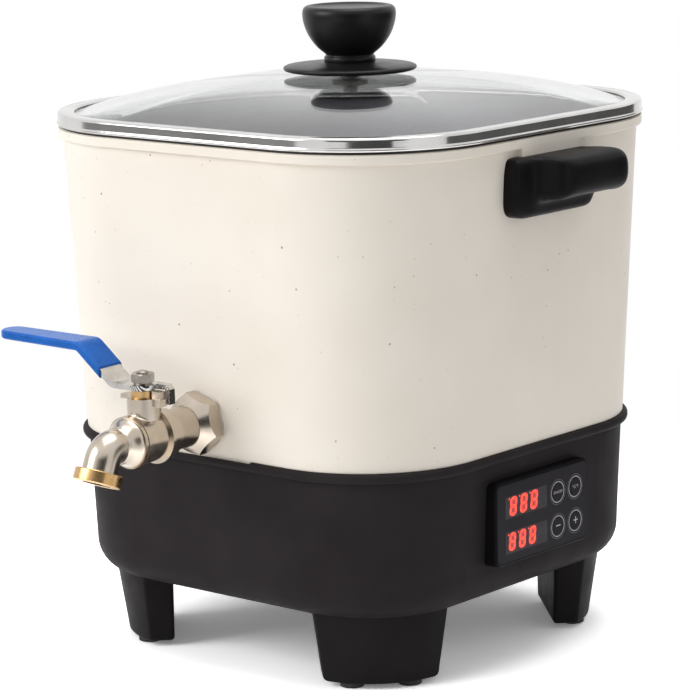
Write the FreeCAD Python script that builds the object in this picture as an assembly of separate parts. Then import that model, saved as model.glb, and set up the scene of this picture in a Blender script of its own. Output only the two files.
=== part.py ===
import FreeCAD, Part
import math
import os

# Candle wax melter: a square cast pot on a black heater base, with a glass lid and a ball valve
# low on the front wall.  Millimetres.  +Z is up, -Y is the valve side, +X is the control panel
# side.  The origin lies on the floor, on the vertical axis of the pot.

V = FreeCAD.Vector
X, Y, Z = V(1, 0, 0), V(0, 1, 0), V(0, 0, 1)
ORIGIN = V(0, 0, 0)

# ---------------------------------------------------------------- driving dimensions
FIT = 0.05                # gap of a close fit, such as a screw in its hole
CLEAR = 0.3               # gap between pieces that are only near each other

# Pot
POT_HALF = 115.0          # half width of the wall where it meets the collar of the base
POT_TALL = 152.2          # from the collar to the top of the band
CORNER_CENTRE = 53.2      # distance of the pot's corner centres from the axis in x and y
POT_DRAFT = 0.0503        # outward lean of the wall, mm per mm of height
POT_WALL = 3.0
POT_FLOOR = 5.0
FLOOR_SINK = 7.0          # depth of the inside floor below the collar's top
FLOOR_ROUND = 9.0         # radius between inside floor and wall
PLUG_STEP = 3.6           # how far the lower part of the pot is stepped in
BAND_HEIGHT = 4.7
BAND_REACH = 10.0         # how far the band round the mouth stands out from the foot of the wall
BEAD_INSET = 1.5          # bead on the band, on which the lid rests
BEAD_HEIGHT = 1.3
LUG_HALF = 23.5           # half width of each handle lug
LUG_TALL = 4.5            # height of each lug below the band
HEATER_BOSS = 3.5         # radius of the bosses for the retainer's screws
POT_SCREW_DEPTH = 3.5     # metal left between the end of a pot screw and the inside floor

# Lid
RIM_LAP = 0.5             # how far the steel rim stands out over the band
RIM_HEIGHT = 6.8
RIM_WIDTH = 9.0
GLASS = 4.0
DOME_RISE = 14.1          # rise of the glass from its edge to the middle
GLASS_SEAT = 1.3          # metal of the rim under the edge of the glass
LID_HOLE = 4.0
SKIRT = 5.0               # depth of the lid's centring skirt
SKIRT_WALL = 1.6
LID_WASHER = 1.2
LID_WASHER_RADIUS = 9.0
KNOB_SCREW = 2.0          # radius of the knob screw

# Knob
SPACER_TALL = 4.7
SPACER_RADIUS = 6.0
PLATE_RADIUS = 33.7
PLATE_EDGE = 2.5          # thickness of the plate at its rim
PLATE_TALL = 5.3          # and at its middle
NECK_RADIUS = 12.9
NECK_TALL = 3.4
BOWL_TALL = 23.2          # height of the knob's bowl above its neck
KNOB_RADIUS = 24.0

# Handles
HANDLE_HALF = 35.5
HANDLE_TALL = 29.0        # height of the back plate
GRIP_TALL = 20.0
GRIP_REACH = 24.8         # from the wall to the front of the grip
GRIP_SKIN = 5.0           # wall of the grip in front of its hollow
GRIP_SIDE = 9.0           # and at the two ends of the hollow
BACK_PLATE = 7.0
BACK_PLATE_ROUND = 6.0
GRIP_ROUND = 8.0
GRIP_EDGE = 6.0
POCKET_ROUND = 4.0
TONGUE_DEPTH = 11.0       # from the top of the handle down to the tongue's underside
TONGUE_THICK = 6.0
POCKET_ROOF = 2.0         # skin between the hollow and the tongue
HANDLE_SCREW = 2.0
HANDLE_SCREW_INSET = 4.5
TONGUE_LENGTH = 17.0
TONGUE_HALF = 10.0

# Base housing
HOUSING_STEP = 0.9        # how far the housing stands in from the foot of the pot wall
HOUSING_TALL = 74.9       # from the underside to the top of the collar
HOUSING_CENTRE = 54.0     # distance of the corner centres from the axis in x and y
HOUSING_DRAFT = 0.043     # inward lean towards the bottom, mm per mm
HOUSING_BOTTOM = 36.1
HOUSING_ROUND = 16.0
HOUSING_WALL = 2.5
HOUSING_FLOOR = 4.0
COLLAR_LIP = 2.3          # how far the collar stands out from the foot of the pot wall
COLLAR_TALL = 4.8
COLLAR_RELIEF = 0.8       # depth of the notch under the valve, which keeps the pot from turning
RELIEF_HALF = 30.0

# Bottom cover
COVER_HALF = 74.5
COVER_CORNER = 42.0
COVER_LEDGE = 2.5
COVER_THICK = 2.0
VENT_WIDTH = 3.0
VENT_START = -66.0        # left end of the vent slots
VENT_LENGTH = 40.0
VENT_PITCH = 9.0
VENT_COUNT = 9

# Posts that carry the pot
POST_OFFSET = 65.0
POST_RADIUS = 5.5
POST_GAP = 11.0           # from the posts up to the underside of the pot
POST_SEAT = 3.0           # depth of the recess for each screw's head
SHIELD = 0.8
SHIELD_HALF = 88.0
SHIELD_CORNER = 46.0
SHIELD_LIP = 4.0
WASHER = 2.0
POT_SCREW = 2.0

# Heater
HEATER_RING = 62.0
HEATER_RADIUS = 3.6
HEATER_SINK = 2.2         # depth of the groove in the pot's underside
HEATER_GAP = 24.0         # degrees left open for the two cold ends
HEATER_LEG = 9.0
RETAINER = 1.5

# Legs
LEG_CENTRE = 74.7         # radial distance of the corner's own centre
LEG_INSET = 5.6           # how far the top of the outer face stands in from the housing
LEG_SPLAY = 7.0           # how far the foot stands in from the top
LEG_THICK = 29.0          # from the outer face at the top to the flat inner face
LEG_HALF_TOP = 34.0
LEG_HALF_FOOT = 28.0
LEG_BOTTOM = 2.5
LEG_RISE = 11.9           # how far the legs reach up round the housing
LEG_SCREW_GRIP = 12.1     # from the screw heads inside the legs up to the housing
LEG_SCREW_HEAD = 4.0      # radius of the holes for the heads
LEG_ROUND = 2.2
PAD_RADIUS = 6.0
PAD_SEAT = 1.0
PAD_OFFSET = 14.0
PAD_INSET = 10.0          # from the outer face of the foot in to the pads
LEG_SCREW = 2.0

# Control panel on the +X wall
PANEL_PROUD = 6.4         # how far the front stands out from the housing
PANEL_Y = -1.0
PANEL_RISE = 40.3         # from the housing's underside to the middle of the panel
PANEL_WIDTH = 76.0
PANEL_HEIGHT = 41.6
PANEL_ROUND = 3.5
PANEL_EDGE = 1.2
PANEL_SKIN = 2.4
BEZEL_WALL = 2.4
WINDOW_INSET = 2.8        # from the panel's outline in to the window in the housing
HOOK_HALF = 4.0           # half width of the hooks that snap behind the housing wall
HOOK_THICK = 1.2
HOOK_BARB = 1.3
HOOK_CATCH = 0.9
HOOK_OFFSET = 18.0
SHEET = 0.8               # printed front sheet
SHEET_MARGIN = 1.5
DISPLAY_OFFSET = -13.5    # middle of the displays from the middle of the panel
DISPLAY_WIDTH = 33.4
DISPLAY_HEIGHT = 10.6
DISPLAY_RISE = (7.8, -9.8)
DISPLAY_SINK = 0.3
DISPLAY_GAP = 0.1
KEY_OFFSET = (12.3, 26.8)
KEY_RISE = (7.8, -9.5)
KEY_RADIUS = 4.9
KEY_FLANGE = 6.0
KEY_TRAVEL = 0.5
BOARD = 1.6
BOARD_DEPTH = 10.0        # from the panel's front to the front face of the key board
BOARD_EDGE = 3.6          # from the panel's outline in to the edge of the key board
BOARD_POST = 2.2          # radius of the posts that carry the key board
BOARD_POST_INSET = 5.2
BOARD_SCREW = 1.2
BOARD_SCREW_REACH = 5.0
SWITCH_TALL = 3.4
SWITCH_BODY = 3.0         # half width of a switch
PLUNGER_RADIUS = 1.7
KEY_GAP = 0.15
KEY_PROUD = 0.3
CONTROL_PILLAR = 6.9      # height of the pillars under the control board
CONTROL_X0 = -8.0
CONTROL_X1 = 62.0
CONTROL_HALF = 30.0
CONTROL_INSET = 4.0
SMALL_SCREW = 1.5         # radius of the self-tapping screws of board, cover and retainer

# Valve, measured along its own axis from the pot wall
VALVE_RISE = 16.8         # from the collar's top to where the axis meets the outside of the wall
VALVE_DROOP = 1.2         # degrees by which the flow axis points down
GASKET = 1.5
NUT_FLATS = 27.0
NUT_TURN = 43.0
NUT_PRISM = 6.6
NUT_TOTAL = 11.7
NIPPLE_RADIUS = 10.0
NIPPLE_BORE = 6.5
NIPPLE_INSIDE = 11.0      # how far the nipple reaches into the pot
INNER_NUT = 6.0
SOCKET_START = 26.0       # start of the valve body's inlet socket
SOCKET_RADIUS = 11.6
BODY_START = 33.4
BODY_RADIUS = 11.9
BACK_RING = 13.7          # radius of the ring at the back of the body
BACK_RING_WIDTH = 1.8
FRONT_RING = 12.6
FRONT_RING_START = 49.4
FRONT_GROOVE = 0.6        # width and depth of the groove round the front ring
BODY_END = 52.9
STEM_AT = 40.3
BALL_RADIUS = 8.5
BALL_BORE = 5.0
BALL_FIT = 0.1
SLOT_FLOOR = 5.8
TANG_HALF = 1.4
TANG_LENGTH = 3.4
COLLAR_LOW = 9.6
SHOULDER = 11.3
NIPPLE_END = 30.6
SEAT_START = 32.0
SEAT_TALL = 4.6
SEAT_OUTER = 9.2
TOWER_RADIUS = 8.1
TOWER_TOP = 20.0
TOWER_BLEND = 1.2
STEM_RADIUS = 3.0
STEM_FIT = 0.06
COLLAR_RADIUS = 4.4
PACKING_BOTTOM = 14.4
PACKING_TOP = 16.6
GLAND_RADIUS = 5.0
GLAND_HEAD = 5.85
GLAND_TALL = 3.6          # height of the gland nut above the tower
LEVER_GAP = 0.4           # from the gland nut up to the lever
LEVER_THICK = 2.4
LEVER_HALF = 7.0
LEVER_TIP_HALF = 5.8
LEVER_FLAT = 14.0         # from the stem to the lower bend
LEVER_RISE_END = 35.0     # from the stem to the upper bend
LEVER_RISE = 16.4
LEVER_BEND = 5.0          # radius of the middle line in both bends
LEVER_TIP = 90.8
TAIL_INNER = 11.5
TAIL_DROP = 7.0
TAIL_NEAR = 2.9
TAIL_FAR = 6.9
TAIL_ROUND = 3.0
SHUT_STOP_REACH = 12.6    # the stop that the tail meets when the valve is shut
SHUT_STOP_DEEP = 4.6
SHUT_STOP_TALL = 3.6
STOP_STEP = 0.7           # how far its upper part stands in
OPEN_STOP = (124.0, 183.0)  # angles of the ear that the tail meets when the valve is open
OPEN_STOP_RADIUS = 14.5
OPEN_STOP_TALL = 2.2
FLAT_HALF = 2.3
SLEEVE = 1.0
SLEEVE_START = 21.3
SLEEVE_ROUND = 1.3
STEM_NUT_FLATS = 10.0
STEM_NUT_FOOT = 0.9       # round foot under the hexagon
STEM_NUT_TALL = 5.1
STEM_END = 1.2            # how far the stem stands out of its nut
PIPE_RADIUS = 8.5
PIPE_BORE = 6.5
SPIGOT_END = 53.5         # end of the thicker part that is screwed into the body
BEND_START = 61.9
BEND_RADIUS = 8.9
BEND_TURN = 66.0
OUTLET_STRAIGHT = 5.2     # from the end of the bend to the spout's ring
SPOUT_RING_TALL = 5.9
SPOUT_RING_RADIUS = 11.6
SPOUT_LIP = 1.4
SPOUT_LIP_BORE = 7.0

# Cord gland on the back wall
GLAND_RISE = 25.9         # from the housing's underside to the middle of the gland
GLAND_BORE = 3.5
GLAND_NECK = 6.0
GLAND_FLANGE = 9.0
GLAND_FLANGE_TALL = 2.5
GLAND_OUTSIDE = 7.0
GLAND_INSIDE = 8.0        # how far the gland reaches in past the wall
GLAND_NUT_FLATS = 17.0
GLAND_NUT_TALL = 5.0


# ---------------------------------------------------------------- shape helpers
def cylinder(radius, start, end, at=(0, 0), axis="z"):
    """Cylinder between two levels on an axis parallel to x, y or z."""
    a, b = at
    place = {"x": (V(start, a, b), X), "y": (V(a, start, b), Y), "z": (V(a, b, start), Z)}[axis]
    return Part.makeCylinder(radius, end - start, place[0], place[1])


def tube(outer, inner, start, end, at=(0, 0), axis="z"):
    """Hollow cylinder."""
    return cylinder(outer, start, end, at, axis).cut(cylinder(inner, start - 1, end + 1, at, axis))


def block(x0, x1, y0, y1, z0, z1):
    """Box between two corners."""
    return Part.makeBox(x1 - x0, y1 - y0, z1 - z0, V(x0, y0, z0))


def rounded_outline(half, corner, z):
    """Closed rounded square about the z axis, at height z."""
    flat = half - corner
    k = corner / math.sqrt(2)
    edges = []
    for turn in range(4):
        spin = FreeCAD.Rotation(Z, 90 * turn)
        side = (spin.multVec(V(half, -flat, z)), spin.multVec(V(half, flat, z)))
        bulge = spin.multVec(V(flat + k, flat + k, z))
        following = spin.multVec(V(flat, half, z))
        edges.append(Part.LineSegment(*side).toShape())
        edges.append(Part.Arc(side[1], bulge, following).toShape())
    return Part.Wire(edges)


def rounded_prism(half, corner, z0, z1):
    """Straight rounded-square prism."""
    return Part.Face(rounded_outline(half, corner, z0)).extrude(V(0, 0, z1 - z0))


def outline_face(points):
    """Face in the x-z plane; each corner is (x, z), or (x, z, radius) where it is rounded."""
    corners = [V(p[0], 0, p[1]) for p in points]
    radii = [p[2] if len(p) > 2 else 0.0 for p in points]
    ends = []
    edges = []
    for i, (here, radius) in enumerate(zip(corners, radii)):
        back = (corners[i - 1] - here).normalize()
        ahead = (corners[(i + 1) % len(corners)] - here).normalize()
        if radius:
            half_angle = back.getAngle(ahead) / 2
            reach = radius / math.tan(half_angle)
            towards = (back + ahead).normalize()
            middle = here + towards * (radius / math.sin(half_angle) - radius)
            ends.append((here + back * reach, here + ahead * reach))
            edges.append(Part.Arc(ends[-1][0], middle, ends[-1][1]).toShape())
        else:
            ends.append((here, here))
    for i, (start, end) in enumerate(ends):
        following = ends[(i + 1) % len(ends)][0]
        if end.distanceToPoint(following) > 1e-6:
            edges.append(Part.LineSegment(end, following).toShape())
    return Part.Face(Part.Wire(Part.sortEdges(edges)[0]))


def turned(points):
    """Solid of revolution about the z axis from an outline in radius and height."""
    return outline_face(points).revolve(ORIGIN, Z, 360)


def square_body(flat, points):
    """Body with a rounded-square plan.  Its outline, given as distance from the corner centres and
    height, runs straight along the four sides and turns about the four corner centres."""
    slab_points = [(p[0] + flat,) + tuple(p[1:]) if p[0] > 0 else (0.0, p[1]) for p in points]
    slab = outline_face(slab_points).extrude(V(0, 2 * flat, 0))
    slab.translate(V(0, -flat, 0))
    post = turned(points)
    pieces = []
    for turn in range(4):
        side = slab.copy()
        side.rotate(ORIGIN, Z, 90 * turn)
        corner = post.copy()
        corner.translate(V(flat, flat, 0))
        corner.rotate(ORIGIN, Z, 90 * turn)
        pieces += [side, corner]
    return fused(pieces)


def edges_at(shape, test):
    """Edges whose middle point passes the test."""
    found = []
    for edge in shape.Edges:
        middle = edge.valueAt((edge.FirstParameter + edge.LastParameter) / 2)
        if test(middle, edge):
            found.append(edge)
    return found


def hexagon(flats, start, end, turn=0.0):
    """Hexagonal prism on the z axis with one corner at the given turn."""
    radius = flats / math.sqrt(3)
    corners = []
    for i in range(6):
        angle = math.radians(turn + 60 * i)
        corners.append(V(radius * math.cos(angle), radius * math.sin(angle), start))
    face = Part.Face(Part.makePolygon(corners + corners[:1]))
    return face.extrude(V(0, 0, end - start))


def fused(shapes):
    """One clean solid from several that touch or overlap."""
    return shapes[0].multiFuse(shapes[1:]).removeSplitter()


def four_corners(offset):
    """The four points at the given offset from the axis in x and y."""
    return [(sx * offset, sy * offset) for sx in (1, -1) for sy in (1, -1)]


def cap_screw(radius, length, head_radius, head_tall, drive=1.5):
    """Screw on the z axis: head below z = 0, shank above it, with a drive socket in the head."""
    head = cylinder(head_radius, -head_tall, 0)
    socket = hexagon(drive * 2, -head_tall - 1, -head_tall * 0.45)
    return fused([head, cylinder(radius, 0, length)]).cut(socket)


def placed(shape, at, direction=Z):
    """Copy of a shape with its origin moved to a point and its z axis along a direction."""
    copy = shape.copy()
    copy.Placement = FreeCAD.Placement(V(*at), FreeCAD.Rotation(Z, direction))
    return copy


# ---------------------------------------------------------------- sizes that follow from others
COLLAR_TOP = HOUSING_BOTTOM + HOUSING_TALL
COLLAR_BOTTOM = COLLAR_TOP - COLLAR_TALL
COLLAR_HALF = POT_HALF + COLLAR_LIP
HOUSING_HALF = POT_HALF - HOUSING_STEP
PLUG_HALF = POT_HALF - PLUG_STEP


def pot_half(z):
    return POT_HALF + POT_DRAFT * (z - COLLAR_TOP)


def housing_half(z):
    return HOUSING_HALF + HOUSING_DRAFT * (z - COLLAR_TOP)


FLOOR_TOP = COLLAR_TOP - FLOOR_SINK
POT_BOTTOM = FLOOR_TOP - POT_FLOOR
BAND_TOP = COLLAR_TOP + POT_TALL
BAND_BOTTOM = BAND_TOP - BAND_HEIGHT
BAND_HALF = POT_HALF + BAND_REACH
BEAD_OUTER = BAND_HALF - BEAD_INSET
BEAD_TOP = BAND_TOP + BEAD_HEIGHT
LUG_BOTTOM = BAND_BOTTOM - LUG_TALL

RIM_HALF = BAND_HALF + RIM_LAP
RIM_TOP = BEAD_TOP + RIM_HEIGHT
GLASS_EDGE_Z = BEAD_TOP + GLASS_SEAT
DOME_TOP = GLASS_EDGE_Z + GLASS + DOME_RISE
PLATE_BOTTOM = DOME_TOP + SPACER_TALL
NECK_BOTTOM = PLATE_BOTTOM + PLATE_TALL
NECK_TOP = NECK_BOTTOM + NECK_TALL
KNOB_TOP = NECK_TOP + BOWL_TALL
KNOB_BORE_TOP = NECK_TOP + BOWL_TALL * 0.52

HANDLE_TOP = LUG_BOTTOM
HANDLE_BOTTOM = HANDLE_TOP - HANDLE_TALL
GRIP_BOTTOM = HANDLE_TOP - GRIP_TALL
GRIP_FRONT = pot_half(HANDLE_TOP) + GRIP_REACH
TONGUE_BOTTOM = HANDLE_TOP - TONGUE_DEPTH
POCKET_TOP = TONGUE_BOTTOM - POCKET_ROOF

POST_TOP = POT_BOTTOM - POST_GAP
WASHER_TOP = POST_TOP + SHIELD + WASHER
COVER_BOTTOM = HOUSING_BOTTOM
COVER_TOP = COVER_BOTTOM + COVER_THICK
HEATER_Z = POT_BOTTOM + HEATER_SINK - HEATER_RADIUS
BOARD_LEVEL = COVER_TOP + CONTROL_PILLAR

LEG_OUTER_TOP = housing_half(HOUSING_BOTTOM) - HOUSING_CENTRE - LEG_INSET
LEG_OUTER_FOOT = LEG_OUTER_TOP - LEG_SPLAY
LEG_INNER = LEG_CENTRE + LEG_OUTER_TOP - LEG_THICK
LEG_TOP = HOUSING_BOTTOM + LEG_RISE
LEG_SCREW_SEAT = HOUSING_BOTTOM - LEG_SCREW_GRIP
PAD_RADIAL = LEG_CENTRE + LEG_OUTER_FOOT - PAD_INSET

PANEL_Z = HOUSING_BOTTOM + PANEL_RISE
PANEL_FACE = housing_half(PANEL_Z) + PANEL_PROUD
BOARD_X = PANEL_FACE - BOARD_DEPTH
DISPLAY_Y = PANEL_Y + DISPLAY_OFFSET
GLAND_Z = HOUSING_BOTTOM + GLAND_RISE

SEAT_END = 2 * STEM_AT - SEAT_START
LEVER_BOTTOM = TOWER_TOP + GLAND_TALL + LEVER_GAP
LEVER_TOP = LEVER_BOTTOM + LEVER_THICK
VALVE_Z = COLLAR_TOP + VALVE_RISE
VALVE_FOOT = V(0, -pot_half(VALVE_Z), VALVE_Z)
VALVE_PLACE = FreeCAD.Placement(VALVE_FOOT, FreeCAD.Rotation(X, VALVE_DROOP))


# ---------------------------------------------------------------- pot
def retainer_spots():
    """Four screw places inside the heating ring."""
    r = HEATER_RING - 12.0
    return [(r, 0.0), (0.0, r), (-r, 0.0), (0.0, -r)]


def pot_outside():
    """The pot as if solid: stepped-in plug, leaning wall, band and bead."""
    c = CORNER_CENTRE
    return square_body(c, [(0, POT_BOTTOM), (PLUG_HALF - c, POT_BOTTOM, FLOOR_ROUND - 2.0),
                           (PLUG_HALF - c, COLLAR_TOP), (pot_half(COLLAR_TOP) - c, COLLAR_TOP, 0.6),
                           (pot_half(BAND_BOTTOM) - c, BAND_BOTTOM), (BAND_HALF - c, BAND_BOTTOM, 0.8),
                           (BAND_HALF - c, BAND_TOP, 0.5), (BEAD_OUTER - c, BAND_TOP),
                           (BEAD_OUTER - c, BEAD_TOP, 0.4), (0, BEAD_TOP)])


def pot_inside():
    """The space for the wax, open at the top."""
    c = CORNER_CENTRE
    step = COLLAR_TOP + POT_WALL
    high = BEAD_TOP + 1
    return square_body(c, [(0, FLOOR_TOP), (PLUG_HALF - POT_WALL - c, FLOOR_TOP, FLOOR_ROUND),
                           (pot_half(step) - POT_WALL - c, step), (pot_half(high) - POT_WALL - c, high),
                           (0, high)])


def pot_lug(side):
    """Cast lug under the band and the tongue that runs into the handle."""
    wall = pot_half(LUG_BOTTOM)
    lug = block(wall - POT_WALL / 2, BAND_HALF, -LUG_HALF, LUG_HALF, LUG_BOTTOM, BAND_BOTTOM + 0.5)
    tongue = block(wall - POT_WALL / 2, wall + TONGUE_LENGTH, -TONGUE_HALF, TONGUE_HALF,
                   TONGUE_BOTTOM, TONGUE_BOTTOM + TONGUE_THICK)
    both = lug.fuse(tongue)
    if side < 0:
        both.rotate(ORIGIN, Z, 180)
    return both


def pot_key():
    """Step under the front wall that sits in the notch of the collar."""
    return block(-RELIEF_HALF + CLEAR, RELIEF_HALF - CLEAR, -pot_half(COLLAR_TOP - COLLAR_RELIEF), -PLUG_HALF + 0.5,
                 COLLAR_TOP - COLLAR_RELIEF, COLLAR_TOP + 1.0)


def make_pot():
    body = pot_outside().cut(pot_inside())
    bosses = [cylinder(POST_RADIUS, WASHER_TOP, POT_BOTTOM + 1, at) for at in four_corners(POST_OFFSET)]
    boss_ring = [cylinder(HEATER_BOSS, HEATER_Z - HEATER_RADIUS, POT_BOTTOM + 1, at)
                 for at in retainer_spots()]
    lugs = [pot_lug(side).cut(pot_inside()) for side in (1, -1)]
    body = fused([body] + bosses + boss_ring + lugs + [pot_key()])
    cuts = [cylinder(POT_SCREW + FIT, WASHER_TOP - 1, FLOOR_TOP - POT_SCREW_DEPTH + 1, at)
            for at in four_corners(POST_OFFSET)]
    cuts += [cylinder(SMALL_SCREW + FIT, POT_BOTTOM - HEATER_RADIUS * 2, POT_BOTTOM + POT_FLOOR * 0.44, at)
             for at in retainer_spots()]
    cuts.append(Part.makeTorus(HEATER_RING, HEATER_RADIUS + FIT, V(0, 0, HEATER_Z)))
    bore = cylinder(NIPPLE_RADIUS + FIT, -6, 8, axis="y")
    bore.Placement = VALVE_PLACE
    cuts.append(bore)
    for side in (1, -1):
        cuts.append(handle_screw_hole(side))
    for tool in cuts:
        body = body.cut(tool)
    return body


# ---------------------------------------------------------------- handles
def handle_spot(side):
    """Where the screw of a handle stands, in x and y."""
    return side * (pot_half(LUG_BOTTOM) + TONGUE_LENGTH - HANDLE_SCREW_INSET), 0.0


def handle_screw_hole(side):
    level = TONGUE_BOTTOM
    return cylinder(HANDLE_SCREW + FIT, level - 1, level + TONGUE_THICK - 0.8, handle_spot(side))


def make_handle(side):
    """Moulded handle: a back plate on the wall and a grip hollowed from below."""
    wall = pot_half(HANDLE_BOTTOM) - 1
    face = pot_half(HANDLE_TOP) + BACK_PLATE
    plate = block(wall, face, -HANDLE_HALF, HANDLE_HALF, HANDLE_BOTTOM, HANDLE_TOP)
    plate = plate.makeFillet(BACK_PLATE_ROUND, edges_at(plate, lambda m, e: abs(m.x - (wall + face) / 2) < 0.1))
    plate = plate.makeFillet(2.5, edges_at(plate, lambda m, e: m.x > face - 0.1))
    grip = block(wall, GRIP_FRONT, -HANDLE_HALF, HANDLE_HALF, GRIP_BOTTOM, HANDLE_TOP)
    level = edges_at(grip, lambda m, e: abs(m.x - (wall + GRIP_FRONT) / 2) < 0.1)
    grip = grip.makeFillet(GRIP_ROUND, level)
    grip = grip.makeFillet(GRIP_EDGE, edges_at(grip, lambda m, e: m.x > GRIP_FRONT - 0.1))
    shape = fused([plate, grip])
    pocket = block(face + 1, GRIP_FRONT - GRIP_SKIN, -HANDLE_HALF + GRIP_SIDE, HANDLE_HALF - GRIP_SIDE,
                   GRIP_BOTTOM - 1, POCKET_TOP)
    upright_middle = (GRIP_BOTTOM - 1 + POCKET_TOP) / 2
    pocket = pocket.makeFillet(POCKET_ROUND, edges_at(pocket, lambda m, e: abs(m.z - upright_middle) < 0.1))
    shape = shape.cut(pocket)
    reach = pot_half(LUG_BOTTOM) + TONGUE_LENGTH + CLEAR
    shape = shape.cut(block(wall - 5, reach, -TONGUE_HALF - FIT, TONGUE_HALF + FIT,
                            TONGUE_BOTTOM, TONGUE_BOTTOM + TONGUE_THICK + FIT))
    if side < 0:
        shape.rotate(ORIGIN, Z, 180)
    shape = shape.cut(cylinder(HANDLE_SCREW + FIT, GRIP_BOTTOM, TONGUE_BOTTOM + 1, handle_spot(side)))
    return shape.cut(pot_outside())


def make_handle_screws():
    """One screw per handle, from the hollow of the grip up into the tongue."""
    screw = cap_screw(HANDLE_SCREW, POCKET_ROOF + TONGUE_THICK - 1.2, HANDLE_SCREW * 1.8, 2.5)
    return Part.makeCompound([placed(screw, (handle_spot(side)[0], 0, POCKET_TOP)) for side in (1, -1)])


# ---------------------------------------------------------------- lid
def dome_solid():
    """Space under the top face of the glass: rounded squares that close in on a flat hub."""
    edge_top = GLASS_EDGE_Z + GLASS
    half_edge = RIM_HALF - 4.5
    rise = DOME_TOP - edge_top
    outlines = []
    for share in (1.0, 0.9, 0.72, 0.5, 0.28, 0.1):
        half = half_edge * share
        roundness = 0.56 + 0.4 * (1 - share)
        outlines.append(rounded_outline(half, half * roundness, edge_top + rise * (1 - share ** 2) / 0.99))
    dome = Part.makeLoft(outlines, True, False)
    foot = rounded_prism(half_edge, half_edge * 0.56, GLASS_EDGE_Z, edge_top)
    return dome, foot


def make_lid_glass():
    dome, foot = dome_solid()
    hollow = dome.copy()
    hollow.translate(V(0, 0, -GLASS))
    glass = dome.fuse(foot).cut(hollow)
    return glass.cut(cylinder(LID_HOLE, GLASS_EDGE_Z, DOME_TOP + 5))


def make_lid_rim():
    """Rolled steel band round the glass, with a skirt that centres the lid in the mouth."""
    c = CORNER_CENTRE
    outer = RIM_HALF - c
    inner = outer - RIM_WIDTH
    skirt = inner + SKIRT_WALL
    shape = square_body(c, [(0, BEAD_TOP - SKIRT), (skirt, BEAD_TOP - SKIRT), (skirt, BEAD_TOP),
                            (outer, BEAD_TOP, 2.6), (outer, RIM_TOP, 3.2), (0, RIM_TOP)])
    shape = shape.cut(rounded_prism(inner + c, inner, BEAD_TOP - SKIRT - 1, RIM_TOP + 1))
    dome, foot = dome_solid()
    return shape.cut(foot).cut(dome)


def make_knob_plate():
    hole = KNOB_SCREW + FIT
    top = PLATE_BOTTOM + PLATE_EDGE
    return turned([(hole, PLATE_BOTTOM), (PLATE_RADIUS, PLATE_BOTTOM, 0.8), (PLATE_RADIUS, top, 1.2),
                   (NECK_RADIUS + 7.0, NECK_BOTTOM - 1.0, 12.0), (NECK_RADIUS, NECK_BOTTOM),
                   (hole, NECK_BOTTOM)])


def make_knob():
    """Bowl-shaped knob on a short neck, slightly dished on top."""
    hole = KNOB_SCREW + FIT
    return turned([(hole, NECK_BOTTOM), (NECK_RADIUS, NECK_BOTTOM, 0.8), (NECK_RADIUS - 1.4, NECK_TOP, 1.0),
                   (KNOB_RADIUS * 0.83, NECK_TOP + BOWL_TALL * 0.22, 9.0),
                   (KNOB_RADIUS, KNOB_TOP - BOWL_TALL * 0.26, 8.0), (KNOB_RADIUS - 0.4, KNOB_TOP, 1.2),
                   (KNOB_RADIUS - 3.0, KNOB_TOP - 0.2, 0.8), (KNOB_RADIUS - 4.2, KNOB_TOP - 0.9),
                   (0, KNOB_TOP - 0.9), (0, KNOB_BORE_TOP), (hole, KNOB_BORE_TOP)])


def make_knob_spacer():
    return tube(SPACER_RADIUS, KNOB_SCREW + FIT, DOME_TOP, PLATE_BOTTOM)


def make_lid_washer():
    """Steel washer under the glass, with a collar that lines the hole."""
    under = DOME_TOP - GLASS
    shape = fused([cylinder(LID_WASHER_RADIUS, under - LID_WASHER, under),
                   cylinder(LID_HOLE - 0.1, under - 0.5, DOME_TOP - 0.2)])
    return shape.cut(cylinder(KNOB_SCREW + FIT, under - 5, DOME_TOP + 1))


def make_knob_screw():
    base = DOME_TOP - GLASS - LID_WASHER
    return placed(cap_screw(KNOB_SCREW, KNOB_BORE_TOP - 2.0 - base, KNOB_SCREW * 1.8, 2.6), (0, 0, base))


# ---------------------------------------------------------------- heater and what hangs under the pot
def heater_ends():
    angles = (90 - HEATER_GAP / 2, 90 + HEATER_GAP / 2)
    return [(HEATER_RING * math.cos(math.radians(a)), HEATER_RING * math.sin(math.radians(a))) for a in angles]


def make_heating_element():
    """Sheathed ring pressed into the groove of the pot, its two cold ends bent down."""
    circle = Part.Wire(Part.Circle(V(HEATER_RING, 0, HEATER_Z), Y, HEATER_RADIUS).toShape())
    ring = Part.Face(circle).revolve(ORIGIN, Z, 360 - HEATER_GAP)
    ring.rotate(ORIGIN, Z, 90 + HEATER_GAP / 2)
    pieces = [ring]
    for at in heater_ends():
        pieces.append(Part.makeSphere(HEATER_RADIUS, V(at[0], at[1], HEATER_Z)))
        pieces.append(cylinder(HEATER_RADIUS, POST_TOP - HEATER_LEG, HEATER_Z, at))
        pieces.append(cylinder(1.3, POST_TOP - HEATER_LEG - 7.0, POST_TOP, at))
    return fused(pieces)


def make_heater_retainer():
    top = HEATER_Z - HEATER_RADIUS
    plate = tube(HEATER_RING + 6.0, HEATER_RING - 17.0, top - RETAINER, top)
    for at in retainer_spots():
        plate = plate.cut(cylinder(SMALL_SCREW + FIT, top - 5, top + 1, at))
    for at in heater_ends():
        plate = plate.cut(cylinder(HEATER_RADIUS + 1.0, top - 5, top + 1, at))
    return plate


def make_retainer_screws():
    level = HEATER_Z - HEATER_RADIUS - RETAINER
    screw = cap_screw(SMALL_SCREW, POT_BOTTOM + 1.4 - level, 2.75, 1.8, 1.2)
    return Part.makeCompound([placed(screw, (at[0], at[1], level)) for at in retainer_spots()])


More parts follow.
